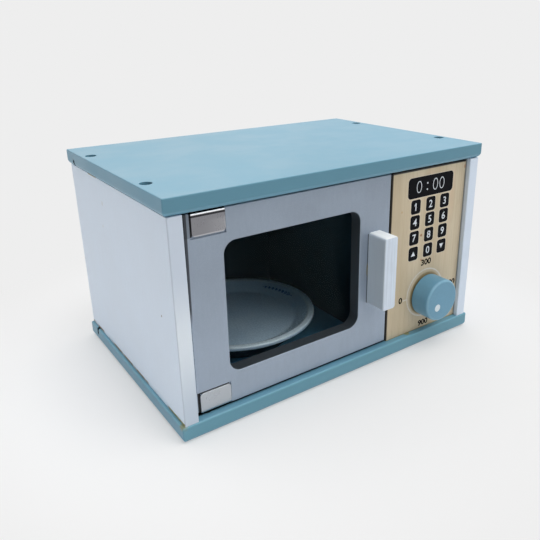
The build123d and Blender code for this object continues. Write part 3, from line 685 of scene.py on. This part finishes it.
def bare_wood(node):
    """Lacquered pale wood with upright grain: broad bands, fine lines, pores and a few knots of colour."""
    material, tree, shader = start_material("bare_" + node, 0.46)
    place = position(tree)
    broad = noise(tree, stretch(tree, place, (1.0, 1.0, 0.035)), 60.0, 3.0, 0.5, 0.5)
    lines = noise(tree, stretch(tree, place, (1.0, 1.0, 0.03)), 330.0, 6.0, 0.62, 0.7)
    pores = noise(tree, stretch(tree, place, (1.0, 1.0, 0.05)), 1500.0, 2.0, 0.5)
    warm = noise(tree, stretch(tree, place, (1.0, 1.0, 0.12)), 48.0, 2.0, 0.5, 0.3)
    to_the_right = step(tree, split(tree, place)[0], 100.0 * MM, 130.0 * MM, 0.25, 0.6)
    shade = mix(tree, step(tree, broad, 0.32, 0.68), srgb(214, 200, 173), srgb(200, 184, 154))
    shade = mix(tree, times(tree, step(tree, warm, 0.52, 0.72), to_the_right), shade, srgb(206, 172, 134))
    shade = mix(tree, step(tree, lines, 0.42, 0.74, 0.0, 0.38), shade, srgb(190, 170, 134))
    shade = mix(tree, step(tree, pores, 0.60, 0.74, 0.0, 0.30), shade, srgb(150, 122, 86))
    connect(tree, shade, shader.inputs["Base Color"])
    connect(tree, step(tree, lines, 0.3, 0.7, 0.42, 0.54), shader.inputs["Roughness"])
    relief = calc(tree, "SUBTRACT", lines, times(tree, pores, 0.5))
    connect(tree, bump(tree, relief, 0.07 * MM, 0.6), shader.inputs["Normal"])
    mark_wood(tree, shader, place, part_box(node))
    return material


def mark_wood(tree, shader, place, box):
    """The wood's marks, its darker rim, painted shadow round the knob, and painted shade along its left
    edge, top and foot.
    """
    low, high = box
    x, _, z = split(tree, place)
    uneven = shaken(tree, place, 1.2 * MM, 600.0)
    for across, up, size, colour, strength in wood_marks:
        mark = spot(tree, uneven, (across * MM, low.y, up * MM), size * MM, 0.6)
        recolour(tree, shader, mark, colour, strength)
    recolour(tree, shader, edge_nearness(tree, place, box, 1.2 * MM), wood_rim, 0.35)
    # Painted shadow: a dark ring on the wood round the knob
    knob_low, knob_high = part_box("control_knob")
    shadow_middle = (knob_low + knob_high) / 2 + Vector(knob_shadow_shift)
    shadow_middle.y = low.y
    shadow_radius = (knob_high.x - knob_low.x) / 2 + knob_shadow_reach
    recolour(tree, shader, spot(tree, place, shadow_middle, shadow_radius, 0.10), knob_shadow, 0.8)
    # Painted shade along the wood's left edge, by the door
    recolour(tree, shader, fade(tree, x, low.x + 0.4 * MM, low.x + 0.8 * MM), left_edge_shade, 0.9)
    # Painted shade: a near black line along the wood's top, under the top panel
    recolour(tree, shader, step(tree, z, high.z - top_shadow, high.z - top_shadow * 0.7), deep_shade)
    # Painted shade along the wood's foot, in the olive stain colour
    recolour(tree, shader, fade(tree, z, low.z + foot_shadow * 0.6, low.z + foot_shadow), olive_stain, 0.6)


def dowel_wood(name):
    material, tree, shader = start_material(name, 0.62)
    place = position(tree)
    lines = noise(tree, stretch(tree, place, (1.0, 1.0, 0.05)), 900.0, 5.0, 0.6)
    shade = mix(tree, step(tree, lines, 0.3, 0.7), srgb(214, 182, 138), srgb(184, 146, 100))
    connect(tree, shade, shader.inputs["Base Color"])
    connect(tree, bump(tree, lines, 0.05 * MM, 0.6), shader.inputs["Normal"])
    return material


# Metals

def metal(name, light, dark, roughness, cell_scale, brushed=(1.0, 1.0, 1.0), height=0.02 * MM):
    """Metal with a mottled surface and fine scratches."""
    material, tree, shader = start_material(name, roughness, 1.0)
    place = position(tree)
    cells = add_node(
        tree, "ShaderNodeTexVoronoi", {"Vector": shaken(tree, place, 0.8 * MM, 700.0), "Scale": cell_scale}
    )
    grey = split(tree, cells.outputs["Color"])[0]
    scratches = noise(tree, stretch(tree, place, brushed), 1800.0, 4.0, 0.6)
    patch = calc(tree, "ADD", times(tree, grey, 0.6),
                 times(tree, noise(tree, place, 150.0), 0.4))
    shade = mix(tree, patch, dark, light)
    connect(tree, shade, shader.inputs["Base Color"])
    rough = calc(tree, "ADD", step(tree, scratches, 0.3, 0.7, roughness - 0.06, roughness + 0.08),
                 times(tree, grey, 0.06))
    connect(tree, rough, shader.inputs["Roughness"])
    connect(tree, bump(tree, scratches, height, 0.5), shader.inputs["Normal"])
    return material


def hinge_sheet(node, light, dark):
    """Zinc on folded sheet; the upper plate also has a painted highlight, painted shade and a dark line
    along its fold.
    """
    material = metal("sheet_" + node, light, dark, 0.3, 120.0, (1.0, 1.0, 0.2), 0.002 * MM)
    if node == "upper_hinge_plate":
        tree = material.node_tree
        shader = [part for part in tree.nodes if part.type == "BSDF_PRINCIPLED"][0]
        mark_fold(tree, shader, *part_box(node))
    return material


def mark_fold(tree, shader, low, high):
    """A painted highlight along the fold with a dark line below it, painted highlights on the rim and
    towards the right, and painted shade at the very top.
    """
    x, _, z = split(tree, position(tree))
    below_fold = calc(tree, "SUBTRACT", high.z, z)
    dark_line_end = fold_height + fold_dark_line
    # A dark line below the fold highlight
    dark_line = times(tree, step(tree, below_fold, fold_height, fold_height + 0.15 * MM),
                  fade(tree, below_fold, dark_line_end, dark_line_end + 0.15 * MM))
    recolour(tree, shader, dark_line, gap_shade, 0.85)
    # Painted highlight along the fold
    fold = fade(tree, below_fold, fold_height - 0.2 * MM, fold_height)
    recolour(tree, shader, fold, fold_highlight)
    # Painted highlight on the lower rim and, more faintly, the right side
    foot = step(tree, below_fold, high.z - low.z - 1.2 * MM, high.z - low.z - 0.7 * MM)
    side = step(tree, x, high.x - 0.9 * MM, high.x - 0.5 * MM)
    rim = calc(tree, "MAXIMUM", foot, times(tree, 0.6, side))
    below_dark_line = step(tree, below_fold, 5.0 * MM, 8.0 * MM)
    recolour(tree, shader, times(tree, rim, below_dark_line), rim_highlight)
    # Painted highlight growing towards the plate's right
    right_highlight = times(tree, step(tree, x, low.x + 6.0 * MM, high.x), below_dark_line)
    recolour(tree, shader, right_highlight, rim_highlight, 0.3)
    # Painted shade at the very top of the plate
    shadow = fade(tree, below_fold, fold_shadow - 0.2 * MM, fold_shadow)
    recolour(tree, shader, shadow, gap_shade)


def nylon(name):
    material, tree, shader = start_material(name, 0.5)
    place = position(tree)
    cloud = noise(tree, place, 240.0, 4.0)
    shade = mix(tree, step(tree, cloud, 0.3, 0.7), srgb(232, 230, 220), srgb(212, 210, 200))
    connect(tree, shade, shader.inputs["Base Color"])
    connect(tree, step(tree, cloud, 0.3, 0.7, 0.44, 0.58), shader.inputs["Roughness"])
    connect(tree, bump(tree, cloud, 0.02 * MM, 0.5), shader.inputs["Normal"])
    return material


def clear_sheet(name):
    """A clear sheet: it shows what is behind, mirrors at a slant, and has faint smears."""
    material = bpy.data.materials.new(name)
    material.use_nodes = True
    tree = material.node_tree
    tree.nodes.clear()
    output = tree.nodes.new("ShaderNodeOutputMaterial")
    place = position(tree)
    smear = noise(tree, stretch(tree, place, (1.0, 1.0, 0.5)), 45.0, 6.0, 0.6, 0.8)
    relief = bump(tree, noise(tree, place, 30.0, 2.0), 0.02 * MM, 0.4)
    # The sheet's colours are tinted blue-green, partly as painted light for the bluish light inside the oven
    clear = add_node(tree, "ShaderNodeBsdfTransparent", {"Color": (0.945, 0.985, 1.0, 1.0)})
    rough = step(tree, smear, 0.35, 0.7, 0.03, 0.14)
    gloss = add_node(
        tree, "ShaderNodeBsdfGlossy", {"Color": (0.72, 0.93, 1.0, 1.0), "Roughness": rough, "Normal": relief}
    )
    film = add_node(tree, "ShaderNodeBsdfDiffuse", {"Color": (0.62, 0.80, 0.88, 1.0)})
    slant = tree.nodes.new("ShaderNodeLayerWeight").outputs["Facing"]
    mirrored = times(tree, calc(tree, "POWER", slant, 5.0), pane_slant_mirror)
    mirrored = calc(tree, "ADD", mirrored, pane_square_mirror)
    hazed = mix_shaders(tree, step(tree, smear, 0.42, 0.75, 0.0005, 0.004), clear, film)
    glazed = mix_shaders(tree, mirrored, hazed, gloss)
    connect(tree, glazed.outputs[0], output.inputs["Surface"])
    return material


def ink(name, colour, patchy, roughness, cover=0.12, shine=0.5):
    """Screen-printed ink: a thin uneven film with a few worn specks."""
    material, tree, shader = start_material(name, roughness)
    shader.inputs["Specular IOR Level"].default_value = shine
    place = position(tree)
    film = noise(tree, place, 500.0, 4.0, 0.6)
    pits = step(tree, noise(tree, place, 2400.0, 2.0), 0.64, 0.76, 0.0, cover)
    shade = mix(tree, calc(tree, "ADD", pits, step(tree, film, 0.4, 0.8, 0.0, cover)), colour, patchy)
    connect(tree, shade, shader.inputs["Base Color"])
    connect(tree, step(tree, film, 0.3, 0.7, roughness - 0.05, roughness + 0.07),
            shader.inputs["Roughness"])
    connect(tree, bump(tree, film, 0.015 * MM, 0.5), shader.inputs["Normal"])
    return material


def dress_cad_nodes():
    steel = metal("steel", srgb(196, 198, 202), srgb(150, 152, 156), 0.34, 900.0, (1.0, 1.0, 0.1))
    dark_steel = metal("dark_steel", srgb(92, 92, 94), srgb(56, 56, 58), 0.42, 900.0)
    plain_sheet = metal("galvanised_sheet", srgb(176, 178, 182), srgb(158, 160, 164), 0.34, 420.0)
    brass = metal("brass", srgb(50, 48, 42), srgb(34, 33, 30), 0.5, 800.0, (1.0, 1.0, 0.2))
    nickel = metal("magnet", srgb(180, 180, 182), srgb(140, 140, 142), 0.28, 600.0)
    wood_pegs = dowel_wood("dowel_wood")
    plastic = nylon("nylon")
    for node in ("top_panel", "bottom_panel"):
        dress(node, teal_board(node))
    for node in ("left_side_panel", "right_side_panel"):
        dress(node, white_board(node))
    for node in ("partition", "back_panel", "turntable"):
        dress(node, dark_board(node))
    dress("control_panel", bare_wood("control_panel"))
    dress("door_panel", silver_board("door_panel"))
    dress("door_handle", white_handle("door_handle"))
    dress("control_knob", teal_knob("control_knob"))
    dress("plate", plate_white("plate"))
    dress("window_pane", clear_sheet("clear_sheet"))
    for node in ("top_screws", "bottom_screws"):
        dress(node, dark_steel)
    for node in ("pane_screws", "handle_screws", "hinge_pins", "hinge_screws", "catch_screws",
                 "knob_screw", "knob_back_washer", "turntable_spindle"):
        dress(node, steel)
    dress("catch_plate", plain_sheet)
    # The upper plate's zinc is painted darker than the lower one's, as painted shade under the top panel's
    # overhang
    dress("upper_hinge_plate", hinge_sheet("upper_hinge_plate", srgb(142, 142, 146), srgb(137, 137, 142)))
    dress("lower_hinge_plate", hinge_sheet("lower_hinge_plate", srgb(190, 195, 200), srgb(184, 189, 195)))
    for node in ("upper_hinge_bush", "lower_hinge_bush"):
        dress(node, brass)
    for node in ("partition_dowels", "control_panel_dowels"):
        dress(node, wood_pegs)
    for node in ("knob_front_washer", "turntable_washer"):
        dress(node, plastic)
    dress("catch_magnets", nickel)


# Printed shapes: thin closed sheets that lie on the front of a piece

def rounded_rectangle(centre, size, corner, steps=8):
    points = []
    for turn, (side, end) in enumerate(((1, 1), (-1, 1), (-1, -1), (1, -1))):
        middle_x = centre[0] + side * (size[0] / 2 - corner)
        middle_z = centre[1] + end * (size[1] / 2 - corner)
        for index in range(steps + 1):
            angle = math.pi / 2 * (turn + index / steps)
            points.append((middle_x + corner * math.cos(angle), middle_z + corner * math.sin(angle)))
    return points


def oval(centre, half_size, steps=48):
    return [
        (
            centre[0] + half_size[0] * math.cos(math.tau * index / steps),
            centre[1] + half_size[1] * math.sin(math.tau * index / steps),
        )
        for index in range(steps)
    ]


def add_sheet(mesh, outline, front, back):
    """A thin closed sheet with the given outline, facing -Y."""
    near = [mesh.verts.new((x, front, z)) for x, z in outline]
    far = [mesh.verts.new((x, back, z)) for x, z in outline]
    mesh.faces.new(near)
    mesh.faces.new(far[::-1])
    for index, start in enumerate(near):
        following = (index + 1) % len(near)
        mesh.faces.new((start, far[index], far[following], near[following]))


def add_band(mesh, outer, inner, front, back):
    """A thin closed ring between two outlines with as many points, facing -Y."""
    rows = [
        [mesh.verts.new((x, level, z)) for x, z in outline]
        for outline, level in ((outer, front), (inner, front), (inner, back), (outer, back))
    ]
    count = len(outer)
    for index in range(count):
        following = (index + 1) % count
        for row, next_row in zip(rows, rows[1:] + rows[:1]):
            mesh.faces.new((row[index], next_row[index], next_row[following], row[following]))


def add_object(name, data):
    item = bpy.data.objects.new(name, data)
    bpy.context.scene.collection.objects.link(item)
    return item


def finish_mesh(name, mesh, material, body):
    bmesh.ops.recalc_face_normals(mesh, faces=mesh.faces)
    data = bpy.data.meshes.new(name)
    mesh.to_mesh(data)
    mesh.free()
    data.materials.append(material)
    piece = add_object(name, data)
    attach(piece, body)
    return piece


def add_number(mesh, text, centre, height, weight, front, back, spread=1.0):
    """A number from the plain built-in font, sized to a height and put at a centre, facing -Y."""
    curve = bpy.data.curves.new("number", "FONT")
    curve.body = text
    curve.offset = weight
    curve.extrude = 0.5
    curve.resolution_u = 5
    holder = add_object("number", curve)
    bpy.context.view_layer.update()
    data = bpy.data.meshes.new_from_object(holder)
    bpy.data.objects.remove(holder)
    bpy.data.curves.remove(curve)
    across = [vertex.co.x for vertex in data.vertices]
    up = [vertex.co.y for vertex in data.vertices]
    scale = height / (max(up) - min(up))
    middle = Vector(((max(across) + min(across)) / 2, (max(up) + min(up)) / 2, 0.0))
    data.transform(Matrix.Translation(-middle))
    depth = abs(back - front)
    data.transform(Matrix.Diagonal((scale * spread, scale, depth, 1.0)))
    data.transform(Matrix.Rotation(math.pi / 2, 4, "X"))
    data.transform(Matrix.Translation((centre[0], (front + back) / 2, centre[1])))
    mesh.from_mesh(data)
    bpy.data.meshes.remove(data)


def print_levels(layer):
    """Front and back of a print; each further layer lies on the one below it."""
    wood_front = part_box("control_panel")[0].y
    back = wood_front - layer * print_thickness
    return back - print_thickness, back


def key_places():
    return [(x, z, label) for z, row in zip(key_rows, key_labels) for x, label in zip(key_columns, row)]


def print_halos(material):
    """The pale rim of varnish round the black print."""
    mesh = bmesh.new()
    front, back = print_levels(0)
    grown = (display_size[0] + 2 * print_halo, display_size[1] + 2 * print_halo)
    add_sheet(mesh, rounded_rectangle(display_centre, grown, display_corner + print_halo), front, back)
    grown = (key_size[0] + 2 * print_halo, key_size[1] + 2 * print_halo)
    for x, z, label in key_places():
        add_sheet(mesh, rounded_rectangle((x, z), grown, key_corner + print_halo), front, back)
    finish_mesh("print_halos", mesh, material, "case")


def print_black_areas(material):
    mesh = bmesh.new()
    front, back = print_levels(1)
    add_sheet(mesh, rounded_rectangle(display_centre, display_size, display_corner), front, back)
    for x, z, label in key_places():
        add_sheet(mesh, rounded_rectangle((x, z), key_size, key_corner), front, back)
    finish_mesh("print_black", mesh, material, "case")


def print_display_digits(material):
    mesh = bmesh.new()
    front, back = print_levels(2)
    inner_size = [half - digit_stroke for half in digit_half_size]
    for centre in digit_centres:
        add_band(mesh, oval(centre, digit_half_size), oval(centre, inner_size), front, back)
    for centre in colon_centres:
        add_sheet(mesh, oval(centre, (colon_radius, colon_radius), 24), front, back)
    finish_mesh("print_display_digits", mesh, material, "case")


def print_key_numbers(material):
    mesh = bmesh.new()
    front, back = print_levels(2)
    for x, z, label in key_places():
        if label != " ":
            add_number(mesh, label, (x, z), key_number_height, key_number_weight, front, back)
        if label == "1":
            top = z + key_number_height / 2
            flag = ((x, top), (x - one_flag_reach, top - one_flag_reach),
                    (x - one_flag_reach, top - one_flag_reach - one_flag_width),
                    (x, top - one_flag_width))
            add_sheet(mesh, flag, front - print_thickness / 2, back - print_thickness / 2)
    for x, direction in ((key_columns[0], 1), (key_columns[2], -1)):
        half = arrow_height / 2 * direction
        tip = (x, key_rows[3] + half)
        left = (x - arrow_half_width, key_rows[3] - half)
        right = (x + arrow_half_width, key_rows[3] - half)
        add_sheet(mesh, (tip, left, right), front, back)
    finish_mesh("print_key_numbers", mesh, material, "case")


def print_dial_numbers(material):
    mesh = bmesh.new()
    front, back = print_levels(0)
    for text, centre in dial_numbers.items():
        add_number(mesh, text, centre, dial_number_height, dial_number_weight, front, back,
                   dial_number_spread)
    finish_mesh("print_dial_numbers", mesh, material, "case")


def print_dial_ring(material):
    outer = dial_ring_radius + dial_ring_width / 2
    inner = dial_ring_radius - dial_ring_width / 2
    mesh = bmesh.new()
    front, back = print_levels(0)
    add_band(mesh, oval(dial_centre, (outer, outer), 96), oval(dial_centre, (inner, inner), 96),
             front, back)
    tick_middle = (dial_centre[0] - outer - dial_tick_length / 2, dial_centre[1] - dial_tick_width)
    add_sheet(mesh, rounded_rectangle(tick_middle, (dial_tick_length, dial_tick_width),
                                      dial_tick_width / 2.2), front, back)
    finish_mesh("print_dial_ring", mesh, material, "case")


def make_prints():
    white_ink = ink("white_ink", srgb(226, 232, 240), srgb(180, 186, 194), 0.42, 0.15)
    black_ink = ink("black_ink", srgb(14, 14, 19), srgb(34, 33, 36), 0.46, 0.08, 0.05)
    thin_black = ink("thin_black_ink", srgb(12, 11, 12), srgb(40, 35, 32), 0.5, 0.05, 0.04)
    halo = ink("print_varnish", srgb(226, 214, 196), srgb(208, 190, 160), 0.38, 0.3)
    ring = ink("ring_ink", srgb(222, 216, 206), srgb(202, 191, 170), 0.48, 0.55)
    print_halos(halo)
    print_black_areas(black_ink)
    print_display_digits(white_ink)
    print_key_numbers(white_ink)
    print_dial_numbers(thin_black)
    print_dial_ring(ring)


def make_knob_dot():
    """A slightly crowned round spot of white paint on the knob's face."""
    low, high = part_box("control_knob")
    centre_x = (low.x + high.x) / 2 + knob_dot_offset[0]
    centre_z = (low.z + high.z) / 2 + knob_dot_offset[1]
    mesh = bmesh.new()
    rows = []
    for share, rise in ((1.0, 0.0), (0.97, 0.45), (0.85, 0.75), (0.5, 0.95)):
        radius = knob_dot_radius * share
        level = low.y - knob_dot_crown * rise
        outline = oval((centre_x, centre_z), (radius, radius), 40)
        rows.append([mesh.verts.new((x, level, z)) for x, z in outline])
    for row, next_row in zip(rows, rows[1:]):
        for index in range(len(row)):
            following = (index + 1) % len(row)
            mesh.faces.new((row[index], row[following], next_row[following], next_row[index]))
    mesh.faces.new(rows[-1])
    mesh.faces.new(rows[0][::-1])
    paint = ink("dot_paint", srgb(222, 234, 240), srgb(176, 200, 212), 0.34, 0.3)
    piece = finish_mesh("knob_dot", mesh, paint, "knob")
    for polygon in piece.data.polygons:
        polygon.use_smooth = True


# Blue sprigs on the plate's rim

def plate_point(surface, centre, radius, angle):
    """The point of the plate's upper face at a radius and an angle in degrees, a hair above it."""
    turn = math.radians(angle)
    x = centre.x + radius * math.cos(turn)
    y = centre.y + radius * math.sin(turn)
    hit = surface.ray_cast(Vector((x, y, 1.0)), Vector((0.0, 0.0, -1.0)))
    return hit[0] + Vector((0.0, 0.0, glaze_lift)), hit[0] - Vector((0.0, 0.0, glaze_lift / 2))


def add_stroke(mesh, surface, centre, path, widths):
    """A brush stroke along (radius, angle) points that follows the plate's surface."""
    flat = [
        Vector((radius * math.cos(math.radians(angle)), radius * math.sin(math.radians(angle))))
        for radius, angle in path
    ]
    rows = []
    for index, (point, width) in enumerate(zip(flat, widths)):
        before = flat[max(index - 1, 0)]
        after = flat[min(index + 1, len(flat) - 1)]
        along = (after - before).normalized()
        across = Vector((-along.y, along.x))
        row = []
        for side in (-1, 0, 1):
            place = point + across * width / 2 * side
            angle = math.degrees(math.atan2(place.y, place.x))
            upper, lower = plate_point(surface, centre, place.length, angle)
            row.append((mesh.verts.new(upper), mesh.verts.new(lower)))
        rows.append(row)
    for row, following in zip(rows, rows[1:]):
        for side in range(2):
            mesh.faces.new([row[side][0], row[side + 1][0], following[side + 1][0], following[side][0]])
            mesh.faces.new([row[side][1], following[side][1], following[side + 1][1], row[side + 1][1]])
        for side in (0, 2):
            mesh.faces.new([row[side][0], following[side][0], following[side][1], row[side][1]])
    for row in (rows[0], rows[-1]):
        for side in range(2):
            mesh.faces.new([row[side][0], row[side + 1][0], row[side + 1][1], row[side][1]])


def leaf_path(radius, angle, lean, length):
    """Points of a leaf that starts on the stem and leans away from it."""
    start = Vector((radius * math.cos(math.radians(angle)), radius * math.sin(math.radians(angle))))
    heading = math.radians(angle + 90 + lean)
    points = []
    for index in range(sprig_leaf_steps + 1):
        share = index / sprig_leaf_steps
        bend = math.radians(-0.35 * lean * share)
        way = Vector((math.cos(heading + bend), math.sin(heading + bend)))
        place = start + way * length * share
        points.append((place.length, math.degrees(math.atan2(place.y, place.x))))
    return points


def make_sprigs():
    """Slim stems that follow the rim, with small leaves in pairs that shorten towards the tip."""
    low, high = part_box("plate")
    centre = (low + high) / 2
    depsgraph = bpy.context.evaluated_depsgraph_get()
    surface = BVHTree.FromObject(nodes["plate"], depsgraph)
    mesh = bmesh.new()
    for start, end in sprig_angles:
        steps = sprig_leaf_pairs * 3
        stem = [(sprig_radius, start + (end - start) * index / steps) for index in range(steps + 1)]
        widths = [sprig_stem_width * (1.0 - 0.6 * index / steps) for index in range(steps + 1)]
        add_stroke(mesh, surface, centre, stem, widths)
        for pair in range(1, sprig_leaf_pairs):
            length = sprig_leaf_length * (1.0 - 0.5 * pair / sprig_leaf_pairs)
            leaf = [
                max(sprig_leaf_width * math.sin(math.pi * (index / sprig_leaf_steps) ** 0.8),
                    sprig_stem_width / 4)
                for index in range(sprig_leaf_steps + 1)
            ]
            for side in (-1, 1):
                path = leaf_path(*stem[pair * 3], side * sprig_leaf_lean, length)
                add_stroke(mesh, surface, centre, path, leaf)
    blue = ink("blue_glaze", srgb(106, 146, 194), srgb(158, 188, 218), 0.24, 0.4)
    finish_mesh("plate_sprigs", mesh, blue, "plate")


# Studio

def make_floor():
    mesh = bmesh.new()
    corners = [(-1, -1), (1, -1), (1, 1), (-1, 1)]
    mesh.faces.new([mesh.verts.new((x * floor_reach, y * floor_reach, 0.0)) for x, y in corners])
    data = bpy.data.meshes.new("floor")
    mesh.to_mesh(data)
    mesh.free()
    floor = add_object("floor", data)
    material, tree, shader = start_material("floor", 0.9)
    shader.inputs["Specular IOR Level"].default_value = 0.0
    output = [node for node in tree.nodes if node.type == "OUTPUT_MATERIAL"][0]
    away = vector_math(tree, "LENGTH", position(tree))["Value"]
    # Painted light on the floor: its paleness is graded from left to right, to even out the lamps' light
    # across it
    sideways = vector_math(tree, "DOT_PRODUCT", position(tree), camera_right)["Value"]
    near = step(tree, sideways, -floor_tint_reach, floor_tint_reach, floor_left_albedo,
                floor_right_albedo)
    far_share = step(tree, away, floor_far_start, floor_far_end)
    pale = calc(tree, "ADD", times(tree, near, calc(tree, "SUBTRACT", 1.0, far_share)),
                times(tree, far_share, floor_far_albedo))
    connect(tree, combine(tree, pale), shader.inputs["Base Color"])
    # Near the object the camera sees part plain grey over the lit floor, which paints light over the
    # object's shadow there
    far = step(tree, away, floor_blend_start, floor_blend_end, floor_blend_near, 1.0)
    seen = times(tree, far, seen_directly(tree))
    level = (background_level, background_level, background_level, 1.0)
    plain = add_node(tree, "ShaderNodeEmission", {"Color": level, "Strength": 1.0})
    connect(tree, mix_shaders(tree, seen, shader, plain).outputs[0], output.inputs["Surface"])
    data.materials.append(material)


def seen_directly(tree):
    """1 for camera, glossy and transmission rays."""
    path = tree.nodes.new("ShaderNodeLightPath").outputs
    seen = calc(tree, "MAXIMUM", path["Is Camera Ray"], path["Is Glossy Ray"])
    return calc(tree, "MAXIMUM", seen, path["Is Transmission Ray"])


def make_world():
    """Soft light that is dim on one side; the camera and mirrors see plain pale grey."""
    world = bpy.data.worlds.new("studio")
    bpy.context.scene.world = world
    world.use_nodes = True
    tree = world.node_tree
    tree.nodes.clear()
    output = tree.nodes.new("ShaderNodeOutputWorld")
    direction = tree.nodes.new("ShaderNodeTexCoord").outputs["Generated"]
    facing = vector_math(tree, "DOT_PRODUCT", direction, dim_side)["Value"]
    level = step(tree, facing, 0.1, 0.9, sky_level, sky_level - dim_depth)
    light = add_node(tree, "ShaderNodeBackground", {"Color": (1, 1, 1, 1), "Strength": level})
    plain = add_node(
        tree, "ShaderNodeBackground", {"Color": (1, 1, 1, 1), "Strength": background_level}
    )
    blend = mix_shaders(tree, seen_directly(tree), light, plain)
    connect(tree, blend.outputs[0], output.inputs["Surface"])


def make_softboxes():
    for name, (place, size, power) in softboxes.items():
        light = bpy.data.lights.new(name, "AREA")
        light.shape = "SQUARE"
        light.size = size
        light.energy = power
        softbox = add_object(name, light)
        softbox.visible_camera = False
        softbox.location = place
        aim = Vector(softbox_target) - Vector(place)
        softbox.rotation_mode = "QUATERNION"
        softbox.rotation_quaternion = aim.to_track_quat("-Z", "Y")


def make_camera():
    data = bpy.data.cameras.new("camera")
    data.lens = camera_lens
    data.sensor_width = 36.0
    data.shift_x, data.shift_y = camera_shift
    data.clip_start = 0.01
    data.clip_end = 200.0
    camera = add_object("camera", data)
    axes = Matrix((camera_right, camera_up, camera_back)).transposed()
    camera.matrix_world = Matrix.Translation(camera_place) @ axes.to_4x4()
    bpy.context.scene.camera = camera


dress_cad_nodes()
make_prints()
make_knob_dot()
make_sprigs()
make_floor()
make_world()
make_softboxes()
make_camera()
bpy.context.scene.view_settings.view_transform = "Standard"
